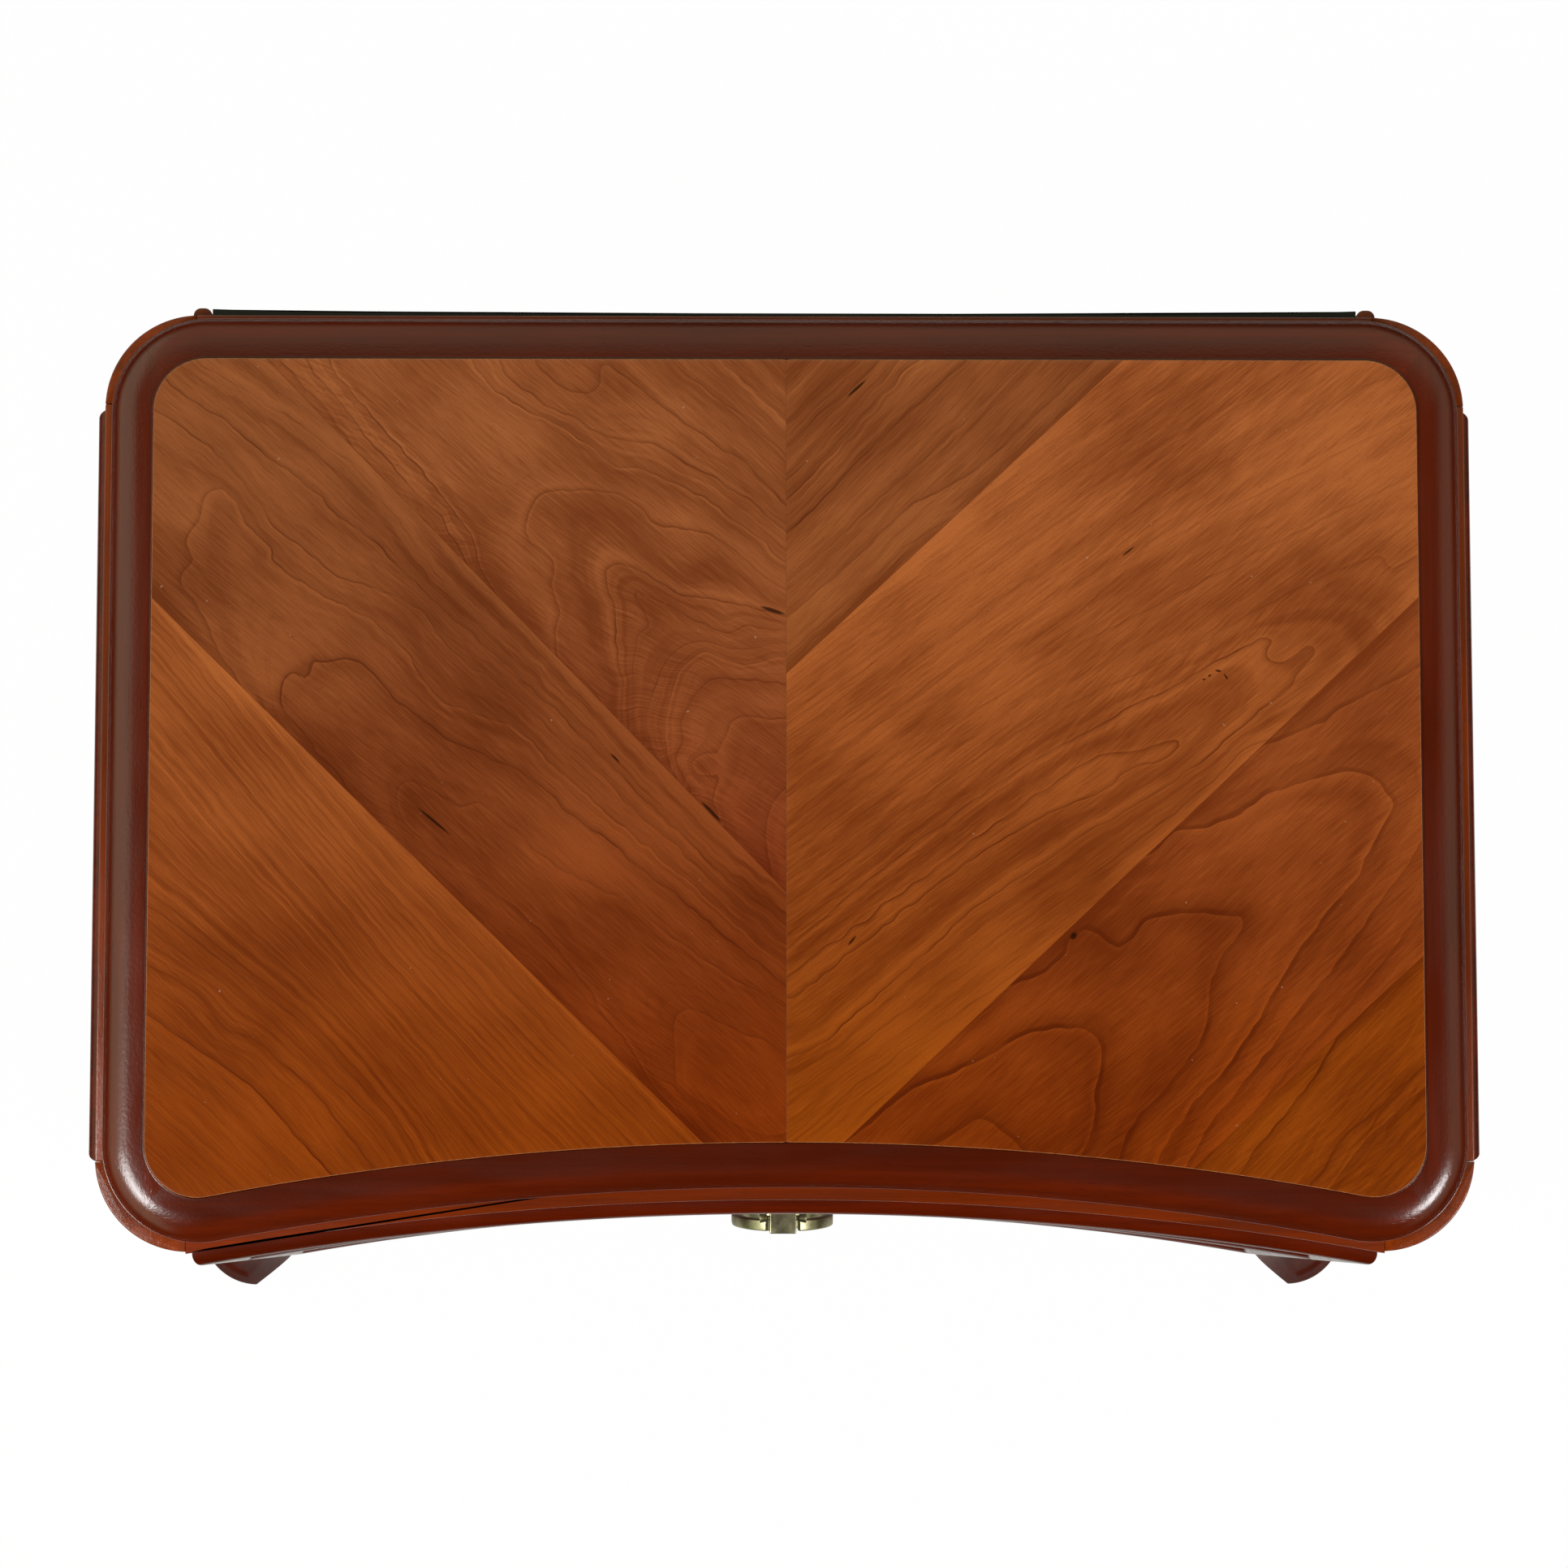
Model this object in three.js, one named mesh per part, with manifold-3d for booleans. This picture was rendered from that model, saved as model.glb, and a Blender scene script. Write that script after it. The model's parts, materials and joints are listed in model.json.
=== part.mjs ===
// Two-drawer nightstand: concave front, quarter-round corner posts, splayed feet and ring pulls.
// Millimetres, +Z up. The front faces -Y and +X is on the right of someone who faces the front.
// The origin is on the floor, at the centre of the overall width and depth.
import * as THREE from "three";
import { mergeVertices } from "three/addons/utils/BufferGeometryUtils.js";
import Module from "manifold-3d";

const wasm = await Module();
wasm.setup();

// Case: the box of posts, rails and panels that stands on the feet
const caseWidth = 718;
const caseDepth = 466;
const caseCurveRadius = 1760;
const caseCornerRadius = 49;
const postWidth = 47.5;

// Heights, stacked from the floor to the top
const glideHeight = 3;
const footTop = 95;
const sillHeight = 16;
const lowerFrontHeight = 300;
const dividerHeight = 14;
const upperFrontHeight = 225;
const bandGap = 2;
const bandHeight = 15;
const topHeight = 19;

// Clearances
const glueLine = 0.2;
const seatGap = 0.3;
const railGap = 1.5;
const overrun = 5;

// Top: veneered board inside a moulded rim
const rimSideInset = 4.8;
const rimBackInset = 3.6;
const rimFrontInset = 6.4;
const rimCurveRadius = 1592;
const rimCornerRadius = 50.6;
const rimWidth = 23;
const rimDrop = 15.4;
const veneerThickness = 0.9;
const seamGap = 0.2;
const mitreGap = 0.3;

// Rim profile: share of the rim's width from its inner edge, and share of its drop, from inside to outside
const rimProfileShares = [
  [0, 0],
  [0.05, 0.1],
  [0.14, 0.19],
  [0.26, 0.23],
  [0.42, 0.27],
  [0.58, 0.35],
  [0.74, 0.5],
  [0.87, 0.71],
  [0.96, 0.9],
  [1, 1],
];

// Raised bead that frames the drawer fronts and side panels
const beadWidth = 10.5;
const beadProud = 7.3;
const sideBeadProud = 6;
const beadStepShares = [0, 0.1, 0.5, 0.9, 1];

// Panels and rails
const sidePanelThickness = 18;
const sidePanelSink = 1;
const topRailDepth = 70;
const dividerDepth = 60;
const dividerSink = 1;
const rearRailThickness = 20;
const rearTopRailHeight = 67;
const rearBottomRailHeight = 55;
const sideRailThickness = 20;
const backPanelThickness = 4;
const backPanelLift = 5;
const rearBeadWidth = 9.9;
const rearBeadLap = 6.2;
const rearBeadRound = 4;
const bottomPanelThickness = 9;
const bottomPanelLift = 1;

// Drawer runners and kickers
const runnerLedgeWidth = 15.5;
const runnerLedgeThickness = 12;
const runnerGuideHeight = 14;
const kickerGap = 4;

// Drawers
const frontThickness = 20;
const frontSideGap = 1.5;
const drawerSideThickness = 12;
const drawerSideGap = 1.5;
const drawerBottomThickness = 6;
const drawerBottomLift = 8;
const grooveDepth = 6.2;
const boxLift = 8;
const boxTopDrop = 10;
const drawerBackThickness = 12;
const drawerBackDrop = 6;
const drawerRearGap = 34;

// Feet: how far the toes reach past the case's sides and past the middle of its concave front
const toeSideReach = 22;
const toeFrontReach = 55.7;
const footTopRadius = 54;
const toeRadius = 37;
const flarePower = 1.7;
const glideRadius = 11;
const glideCentreShare = 0.42;

// Ring pull
const pullPlateWidth = 30;
const pullPlateThickness = 2.5;
const pullPlateBevel = 1;
const pullBlockWidth = 14.5;
const pullBlockHeight = 14.5;
const pullReach = 18.3;
const pullBlockRound = 0.8;
const ringRadius = 28;
const ringThickness = 4.5;
const ringWidth = 6.2;
const ringEndGap = 1.6;
const ringBevel = 0.5;
const knuckleRadius = 2.8;
const knuckleLength = 4;
const knuckleSet = 4;
const pinRadius = 1.5;
const ringReach = 13.6;
const screwRadius = 2;
const boreClearance = 0.4;
const screwHeadRadius = 4.5;
const screwHeadHeight = 2.5;
const screwBite = 4;

// Mesh fineness
const frontArcSteps = 20;
const drawerArcSteps = 16;
const cornerSteps = 10;
const footRings = 10;
const roundSteps = 16;
const ringSteps = 30;

// Levels and faces that follow from the dimensions above
const lowerFrontBottom = footTop + sillHeight;
const lowerFrontTop = lowerFrontBottom + lowerFrontHeight;
const upperFrontBottom = lowerFrontTop + dividerHeight;
const upperFrontTop = upperFrontBottom + upperFrontHeight;
const bandBottom = upperFrontTop + bandGap;
const bandTop = bandBottom + bandHeight;
const overallHeight = bandTop + topHeight;
const overallWidth = caseWidth + 2 * toeSideReach;
const overallDepth = caseDepth + toeFrontReach + beadProud;
const caseHalfWidth = caseWidth / 2;
const caseBack = overallDepth / 2 - beadProud;
const caseFront = caseBack - caseDepth;
const postInnerX = caseHalfWidth - postWidth;
const frontPostBack = caseFront + postWidth - (caseCurveRadius - Math.sqrt(caseCurveRadius ** 2 - postInnerX ** 2));
const rearPostFront = caseBack - postWidth;
const sidePanelInner = caseHalfWidth - sidePanelSink - sidePanelThickness;
const drawerHalfWidth = postInnerX - frontSideGap;
const guideInner = postInnerX - frontSideGap;
const drawerSideOuter = guideInner - drawerSideGap;
const drawerSideInner = drawerSideOuter - drawerSideThickness;
const drawerEnd = caseBack - drawerRearGap;
const boardBottom = bandTop + glueLine;
const boardTop = overallHeight - veneerThickness;
const backPanelBottom = footTop + backPanelLift;
const rearBeadInner = postInnerX - rearBeadLap;
const kickerBottom = upperFrontTop - boxTopDrop + kickerGap;
const pinBore = pinRadius + boreClearance;
const screwBore = screwRadius + boreClearance;

// Finishes
const finishes = {
  veneer: { color: 0x8f4a1c, roughness: 0.35, metalness: 0 },
  rim: { color: 0x5a2410, roughness: 0.3, metalness: 0 },
  band: { color: 0x7a3c18, roughness: 0.35, metalness: 0 },
  panel: { color: 0x6e2c12, roughness: 0.35, metalness: 0 },
  black: { color: 0x17100c, roughness: 0.7, metalness: 0 },
  inner: { color: 0xc9a574, roughness: 0.6, metalness: 0 },
  core: { color: 0xb08a5e, roughness: 0.8, metalness: 0 },
  brass: { color: 0x8d8560, roughness: 0.35, metalness: 1 },
  steel: { color: 0xb8b8b4, roughness: 0.35, metalness: 1 },
  nylon: { color: 0x3a3632, roughness: 0.6, metalness: 0 },
};

const nightstand = new THREE.Group();

function addPiece(name, geometry, finish, parent = nightstand) {
  const mesh = new THREE.Mesh(geometry, new THREE.MeshStandardMaterial(finishes[finish]));
  mesh.name = name;
  parent.add(mesh);
  return mesh;
}

// Solids for joins and cuts

function toSolid(geometry) {
  const bare = geometry.clone();
  bare.deleteAttribute("normal");
  bare.deleteAttribute("uv");
  const merged = mergeVertices(bare);
  return new wasm.Manifold(
    new wasm.Mesh({
      numProp: 3,
      vertProperties: merged.attributes.position.array,
      triVerts: new Uint32Array(merged.index.array),
    }),
  );
}

function toGeometry(solid) {
  const mesh = solid.getMesh();
  const geometry = new THREE.BufferGeometry();
  geometry.setAttribute("position", new THREE.BufferAttribute(mesh.vertProperties, 3));
  geometry.setIndex(new THREE.BufferAttribute(mesh.triVerts, 1));
  geometry.computeVertexNormals();
  return geometry;
}

function cut(geometry, ...tools) {
  return toGeometry(tools.reduce((solid, tool) => solid.subtract(toSolid(tool)), toSolid(geometry)));
}

function join(geometry, ...others) {
  return toGeometry(others.reduce((solid, other) => solid.add(toSolid(other)), toSolid(geometry)));
}

// Shapes

// A board between two corners of a box.
function board(x0, x1, y0, y1, z0, z1) {
  const geometry = new THREE.BoxGeometry(x1 - x0, y1 - y0, z1 - z0);
  return geometry.translate((x0 + x1) / 2, (y0 + y1) / 2, (z0 + z1) / 2);
}

// An outline in plan, carried up from z0 to z1.
function planSolid(points, z0, z1) {
  const shape = new THREE.Shape(points.map(([x, y]) => new THREE.Vector2(x, y)));
  return new THREE.ExtrudeGeometry(shape, { depth: z1 - z0, bevelEnabled: false }).translate(0, 0, z0);
}

// An outline of x and z, carried from y0 back to y1.
function depthSolid(points, y0, y1) {
  const shape = new THREE.Shape(points.map(([x, z]) => new THREE.Vector2(x, z)));
  const geometry = new THREE.ExtrudeGeometry(shape, { depth: y1 - y0, bevelEnabled: false });
  return geometry.rotateX(Math.PI / 2).translate(0, y1, 0);
}

// A rod along an axis, with its middle at a point.
function rod(radius, length, axis, middle) {
  const geometry = new THREE.CylinderGeometry(radius, radius, length, roundSteps);
  if (axis === "x") geometry.rotateZ(Math.PI / 2);
  if (axis === "z") geometry.rotateX(Math.PI / 2);
  return geometry.translate(...middle);
}

// A closed mesh whose triangles all turn one way, turned round where they face inwards.
function facingOut(positions, index) {
  const corner = (at) => new THREE.Vector3().fromArray(positions, 3 * at);
  let volume = 0;
  for (let at = 0; at < index.length; at += 3)
    volume += corner(index[at]).cross(corner(index[at + 1])).dot(corner(index[at + 2]));
  if (volume < 0) index.reverse();
  const geometry = new THREE.BufferGeometry();
  geometry.setAttribute("position", new THREE.Float32BufferAttribute(positions, 3));
  geometry.setIndex(index);
  geometry.computeVertexNormals();
  return geometry;
}

// Equal loops of points joined into a closed solid, its two ends filled after their flat outline.
function loft(loops, outline) {
  const count = outline.length;
  const positions = loops.flat(2);
  const index = [];
  for (let ring = 0; ring + 1 < loops.length; ring++)
    for (let point = 0; point < count; point++) {
      const a = ring * count + point;
      const b = ring * count + ((point + 1) % count);
      index.push(a, b, a + count, b, b + count, a + count);
    }
  const ends = THREE.ShapeUtils.triangulateShape(
    outline.map(([u, v]) => new THREE.Vector2(u, v)),
    [],
  );
  const last = (loops.length - 1) * count;
  const outlineTurnsLeft = THREE.ShapeUtils.area(outline.map(([u, v]) => new THREE.Vector2(u, v))) > 0;
  for (const [a, b, c] of ends) {
    const near = outlineTurnsLeft ? [a, c, b] : [a, b, c];
    const far = outlineTurnsLeft ? [a, b, c] : [a, c, b];
    index.push(...near, ...far.map((point) => last + point));
  }
  return facingOut(positions, index);
}

// A closed slab over a grid: place(u, v, side) gives a point of its face (side 1) or its back (side 0).
function gridSlab(us, vs, place) {
  const columns = us.length;
  const rows = vs.length;
  const sheet = columns * rows;
  const positions = [];
  for (const side of [1, 0])
    for (const v of vs)
      for (const u of us) positions.push(...place(u, v, side));
  const index = [];
  const quad = (a, b, c, d) => index.push(a, b, c, a, c, d);
  for (let row = 0; row + 1 < rows; row++)
    for (let column = 0; column + 1 < columns; column++) {
      const a = row * columns + column;
      const c = a + columns + 1;
      const rising = (row < rows / 2) === (column < columns / 2);
      if (rising) index.push(a, a + 1, c, a, c, a + columns);
      else index.push(a, a + 1, a + columns, a + 1, c, a + columns);
      quad(sheet + a, sheet + a + columns, sheet + c, sheet + a + 1);
    }
  const rim = [];
  for (let column = 0; column < columns; column++) rim.push(column);
  for (let row = 1; row < rows; row++) rim.push(row * columns + columns - 1);
  for (let column = columns - 2; column >= 0; column--) rim.push((rows - 1) * columns + column);
  for (let row = rows - 2; row > 0; row--) rim.push(row * columns);
  rim.forEach((from, order) => {
    const to = rim[(order + 1) % rim.length];
    quad(from, sheet + from, sheet + to, to);
  });
  return facingOut(positions, index);
}

// Plan of the case and of the top: straight back and sides, a concave front and four round corners.
// A station is one point of such an outline, which can be asked for at any inset from the edge.
function outlineStations(halfWidth, backY, frontY, curveRadius, cornerRadius) {
  const curveCentreY = frontY - curveRadius;
  const cornerX = halfWidth - cornerRadius;
  const rearY = backY - cornerRadius;
  const foreY = curveCentreY + Math.sqrt((curveRadius + cornerRadius) ** 2 - cornerX ** 2);
  const meetAngle = Math.atan2(foreY - curveCentreY, cornerX);
  const corner = (x, y, angle) => (inset) => [
    x + (cornerRadius - inset) * Math.cos(angle),
    y + (cornerRadius - inset) * Math.sin(angle),
  ];
  const front = (angle) => (inset) => [
    (curveRadius + inset) * Math.cos(angle),
    curveCentreY + (curveRadius + inset) * Math.sin(angle),
  ];
  return { cornerX, rearY, foreY, meetAngle, corner, front };
}

// Angles from one end to the other in equal steps.
function spread(from, to, steps) {
  return Array.from({ length: steps + 1 }, (_, step) => from + ((to - from) * step) / steps);
}

const topPlan = outlineStations(
  caseHalfWidth - rimSideInset,
  caseBack - rimBackInset,
  caseFront + rimFrontInset,
  rimCurveRadius,
  rimCornerRadius,
);
const casePlan = outlineStations(caseHalfWidth, caseBack, caseFront, caseCurveRadius, caseCornerRadius);

// Right half of an outline, from the middle of its back round to the middle of its front.
function rightHalf(plan, inset) {
  const points = [];
  for (const angle of spread(Math.PI / 2, 0, cornerSteps))
    points.push(plan.corner(plan.cornerX, plan.rearY, angle)(inset));
  for (const angle of spread(0, plan.meetAngle - Math.PI, cornerSteps))
    points.push(plan.corner(plan.cornerX, plan.foreY, angle)(inset));
  for (const angle of spread(plan.meetAngle, Math.PI / 2, frontArcSteps / 2).slice(1))
    points.push(plan.front(angle)(inset));
  return points;
}

const mirrored = (points) => points.map(([x, y]) => [-x, y]).reverse();

// y of the case's concave front at x, at an inset behind the face.
function caseFrontY(x, inset) {
  return caseFront - caseCurveRadius + Math.sqrt((caseCurveRadius + inset) ** 2 - x ** 2);
}

// Points of the concave front over a half width to each side, at an inset behind the face.
function frontEdge(half, inset) {
  return spread(-half, half, frontArcSteps).map((x) => [x, caseFrontY(x, inset)]);
}

// Top board, veneer leaves and moulded rim

function topBoard() {
  const half = rightHalf(topPlan, rimWidth + glueLine);
  addPiece("top_core", planSolid([...half, ...mirrored(half)], boardBottom, boardTop - glueLine), "core");
  for (const [name, side] of [["veneer_leaf_left", -1], ["veneer_leaf_right", 1]]) {
    const edge = half.filter(([x]) => x > seamGap);
    const back = [seamGap / 2, edge[0][1]];
    const front = [seamGap / 2, half[half.length - 1][1]];
    const leaf = [back, ...edge, front].map(([x, y]) => [side * x, y]);
    addPiece(name, planSolid(leaf, boardTop, overallHeight), "veneer");
  }
}

function rimPieces() {
  const seatZ = bandTop + glueLine;
  const section = rimProfileShares.map(([across, down]) => [
    rimWidth * (1 - across),
    overallHeight - rimDrop * down,
  ]);
  section.push([0, seatZ], [rimWidth, seatZ]);
  const sweep = (stations) =>
    loft(
      stations.map((station) => section.map(([inset, z]) => [...station(inset), z])),
      section,
    );
  const halfGap = Math.asin(mitreGap / 2 / (rimCornerRadius - rimWidth));
  const rearMitre = Math.PI / 4;
  const foreMitre = (topPlan.meetAngle - Math.PI) / 2;
  const steps = cornerSteps / 2;
  const rear = (angle) => topPlan.corner(topPlan.cornerX, topPlan.rearY, angle);
  const fore = (angle) => topPlan.corner(topPlan.cornerX, topPlan.foreY, angle);
  const flip = (station) => (inset) => {
    const [x, y] = station(inset);
    return [-x, y];
  };
  const back = spread(Math.PI / 2, rearMitre + halfGap, steps).map(rear);
  const front = [
    ...spread(foreMitre - halfGap, topPlan.meetAngle - Math.PI, steps).map(fore),
    ...spread(topPlan.meetAngle, Math.PI / 2, frontArcSteps / 2).slice(1).map(topPlan.front),
  ];
  const right = [
    ...spread(rearMitre - halfGap, 0, steps).map(rear),
    ...spread(0, foreMitre + halfGap, steps).map(fore),
  ];
  addPiece("rim_moulding_back", sweep([...back.map(flip).reverse(), ...back]), "rim");
  addPiece("rim_moulding_front", sweep([...front, ...front.slice(0, -1).map(flip).reverse()]), "rim");
  addPiece("rim_moulding_right", sweep(right), "rim");
  addPiece("rim_moulding_left", sweep(right.map(flip).reverse()), "rim");
}

// Case: corner posts, rails, side panels and back

// Outline of a post: its flat inner sides and the part of the case's round corner that it fills.
function postOutline(cornerY, flatY, sign) {
  const postX = postInnerX + glueLine;
  const short = sign * (flatY - cornerY);
  const start = Math.asin(Math.max(short, 0) / caseCornerRadius);
  const end = Math.acos((postX - casePlan.cornerX) / caseCornerRadius);
  const round = spread(start, end, cornerSteps).map((angle) =>
    casePlan.corner(casePlan.cornerX, cornerY, sign * angle)(0),
  );
  const straight = short < 0 ? [[caseHalfWidth, flatY]] : [];
  return [...straight, ...round, [postX, flatY]];
}

function cornerPosts() {
  const front = postOutline(casePlan.foreY, frontPostBack, -1);
  const rear = postOutline(casePlan.rearY, rearPostFront, 1);
  for (const [end, outline] of [["front", front], ["rear", rear]])
    for (const [hand, side] of [["left", -1], ["right", 1]]) {
      const points = outline.map(([x, y]) => [side * x, y]);
      addPiece(`corner_post_${end}_${hand}`, planSolid(points, footTop + glueLine, bandTop), "band");
    }
}

function rails() {
  const half = postInnerX - glueLine;
  const frontRail = (backY, inset) => [
    ...frontEdge(half, inset),
    [half, backY],
    [-half, backY],
  ];
  const top = planSolid(frontRail(caseFront + topRailDepth, 0), bandBottom, bandTop);
  addPiece("top_rail_front", top, "band");
  const divider = frontRail(caseFront + dividerDepth, dividerSink);
  const dividerBottom = lowerFrontTop + railGap;
  addPiece("drawer_divider_rail", planSolid(divider, dividerBottom, upperFrontBottom - railGap), "band");
  const lowest = footTop + glueLine;
  addPiece("bottom_rail_front", planSolid(divider, lowest, lowerFrontBottom - railGap), "band");
  const rearFront = caseBack - rearRailThickness;
  const rearTop = board(-half, half, rearFront, caseBack, bandTop - rearTopRailHeight, bandTop);
  addPiece("top_rail_back", rearTop, "band");
  const rearBottom = board(-half, half, rearFront, caseBack, lowest, lowest + rearBottomRailHeight);
  addPiece("bottom_rail_back", rearBottom, "band");
  for (const [hand, side] of [["left", -1], ["right", 1]]) {
    const edges = [side * caseHalfWidth, side * (caseHalfWidth - sideRailThickness)].sort((a, b) => a - b);
    const rail = board(...edges, frontPostBack + glueLine, rearPostFront - glueLine, bandBottom, bandTop);
    addPiece(`top_rail_${hand}`, rail, "band");
  }
}

// Height of the raised bead at a distance in from its outer edge.
function beadRise(distance, rise) {
  const across = (2 * distance) / beadWidth - 1;
  return Math.abs(across) < 1 ? rise * Math.sqrt(1 - across ** 2) : 0;
}

// Grid lines over a framed panel from one end to the other, closer together over its two beads.
function beadLines(from, to, steps) {
  const start = beadStepShares.map((share) => from + beadWidth * share);
  const end = beadStepShares.map((share) => to - beadWidth * share).reverse();
  const middle = spread(start[start.length - 1], end[0], steps).slice(1, -1);
  return [...start, ...middle, ...end];
}

function sidePanels() {
  const y0 = frontPostBack + glueLine;
  const y1 = rearPostFront - glueLine;
  const z0 = footTop + glueLine;
  const z1 = bandBottom - glueLine;
  const faceX = caseHalfWidth - sidePanelSink;
  const rise = sideBeadProud + sidePanelSink;
  const lines = beadLines(y0, y1, 1);
  const levels = [z0, ...beadLines(lowerFrontBottom, z1, 1)];
  const framed = (y, z) => beadRise(Math.min(y - y0, y1 - y, z - lowerFrontBottom, z1 - z), rise);
  for (const [hand, side] of [["left", -1], ["right", 1]]) {
    const place = (y, z, face) => [side * (face ? faceX + framed(y, z) : sidePanelInner), y, z];
    addPiece(`side_panel_${hand}`, gridSlab(lines, levels, place), "panel");
  }
}

function backPanel() {
  const z1 = upperFrontTop;
  const y0 = caseBack + glueLine;
  const half = rearBeadInner - seatGap;
  addPiece("back_panel", board(-half, half, y0, y0 + backPanelThickness, backPanelBottom, z1), "black");
  const y1 = caseBack + beadProud;
  const outer = rearBeadInner + rearBeadWidth;
  const round = (x, from, to) =>
    spread(from, to, roundSteps / 4).map((angle) => [
      x + rearBeadRound * Math.cos(angle),
      y1 - rearBeadRound + rearBeadRound * Math.sin(angle),
    ]);
  const bead = [
    [outer, y0],
    ...round(outer - rearBeadRound, 0, Math.PI / 2),
    ...round(rearBeadInner + rearBeadRound, Math.PI / 2, Math.PI),
    [rearBeadInner, y0],
  ];
  for (const [hand, side] of [["left", -1], ["right", 1]]) {
    const points = bead.map(([x, y]) => [side * x, y]);
    addPiece(`rear_bead_${hand}`, planSolid(points, backPanelBottom, z1), "band");
  }
}

function bottomPanel() {
  const wide = sidePanelInner - seatGap;
  const narrow = postInnerX - seatGap;
  const front = caseFront + dividerDepth + seatGap;
  const step = rearPostFront - seatGap;
  const back = caseBack - rearRailThickness - seatGap;
  const outline = [
    [-wide, front],
    [wide, front],
    [wide, step],
    [narrow, step],
    [narrow, back],
    [-narrow, back],
    [-narrow, step],
    [-wide, step],
  ];
  const z0 = footTop + bottomPanelLift;
  addPiece("bottom_panel", planSolid(outline, z0, z0 + bottomPanelThickness), "inner");
}

function runnersAndKickers() {
  const outer = sidePanelInner - glueLine;
  const ledgeInner = guideInner - runnerLedgeWidth;
  const front = caseFront + dividerDepth + seatGap;
  const back = rearPostFront - glueLine;
  for (const [level, frontBottom] of [["upper", upperFrontBottom], ["lower", lowerFrontBottom]])
    for (const [hand, side] of [["left", -1], ["right", 1]]) {
      const ledgeTop = frontBottom + boxLift - seatGap;
      const section = [
        [ledgeInner, ledgeTop - runnerLedgeThickness],
        [outer, ledgeTop - runnerLedgeThickness],
        [outer, ledgeTop + runnerGuideHeight],
        [guideInner, ledgeTop + runnerGuideHeight],
        [guideInner, ledgeTop],
        [ledgeInner, ledgeTop],
      ].map(([x, z]) => [side * x, z]);
      addPiece(`runner_${level}_${hand}`, depthSolid(section, front, back), "inner");
    }
  const kickerFront = caseFront + topRailDepth + seatGap;
  const kickerTop = boardBottom - seatGap;
  const kickerOuter = caseHalfWidth - sideRailThickness - glueLine;
  for (const [hand, side] of [["left", -1], ["right", 1]]) {
    const edges = [side * kickerOuter, side * ledgeInner].sort((a, b) => a - b);
    addPiece(`kicker_${hand}`, board(...edges, kickerFront, back, kickerBottom, kickerTop), "inner");
  }
}

// Feet: a quarter-round section that swings out and thins towards the toe

function footSection(share, end) {
  const flare = share ** flarePower;
  const lerp = THREE.MathUtils.lerp;
  const radius = lerp(footTopRadius, toeRadius, flare);
  const x = lerp(postInnerX, overallWidth / 2 - toeRadius, flare);
  const toeY = toeRadius - overallDepth / 2;
  const y = end === "front" ? lerp(frontPostBack, toeY, flare) : overallDepth / 2 - radius;
  return { radius, x, y };
}

function foot(end) {
  const [from, to] = end === "front" ? [0, -Math.PI / 2] : [0, Math.PI / 2];
  const angles = spread(from, to, cornerSteps);
  const loops = spread(0, 1, footRings).map((share) => {
    const { radius, x, y } = footSection(share, end);
    const z = THREE.MathUtils.lerp(footTop, glideHeight, share);
    return [[x, y, z], ...angles.map((angle) => [x + radius * Math.cos(angle), y + radius * Math.sin(angle), z])];
  });
  return loft(loops, [[0, 0], ...angles.map((angle) => [Math.cos(angle), Math.sin(angle)])]);
}

function feet() {
  for (const end of ["front", "rear"]) {
    const shape = foot(end);
    const { radius, x, y } = footSection(1, end);
    const into = radius * glideCentreShare;
    const glideY = end === "front" ? y - into : y + into;
    for (const [hand, side] of [["left", -1], ["right", 1]]) {
      addPiece(`foot_${end}_${hand}`, shape, "panel").scale.x = side;
      const length = glideHeight - seatGap;
      const glide = rod(glideRadius, length, "z", [side * (x + into), glideY, length / 2]);
      addPiece(`glide_${end}_${hand}`, glide, "nylon");
    }
  }
}

// Drawers

function drawerFront(z0, z1, middleZ) {
  const lines = beadLines(-drawerHalfWidth, drawerHalfWidth, drawerArcSteps);
  const levels = beadLines(z0, z1, 1);
  const edgeDistance = (x, z) => Math.min(drawerHalfWidth - Math.abs(x), z - z0, z1 - z);
  const framed = (x, z) => beadRise(edgeDistance(x, z), beadProud);
  const place = (x, z, face) => [x, face ? caseFrontY(x, 0) - framed(x, z) : caseFrontY(x, frontThickness), z];
  const hole = rod(screwBore, 2 * (frontThickness + overrun), "y", [0, caseFront, middleZ]);
  return cut(gridSlab(lines, levels, place), hole);
}

// Moves the points of one end of a piece along y, so that the end follows the back of the drawer front.
function fitToFront(geometry, endY) {
  const position = geometry.attributes.position;
  for (let at = 0; at < position.count; at++)
    if (Math.abs(position.getY(at) - endY) < glueLine)
      position.setY(at, caseFrontY(position.getX(at), frontThickness + glueLine));
  return geometry;
}

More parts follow.
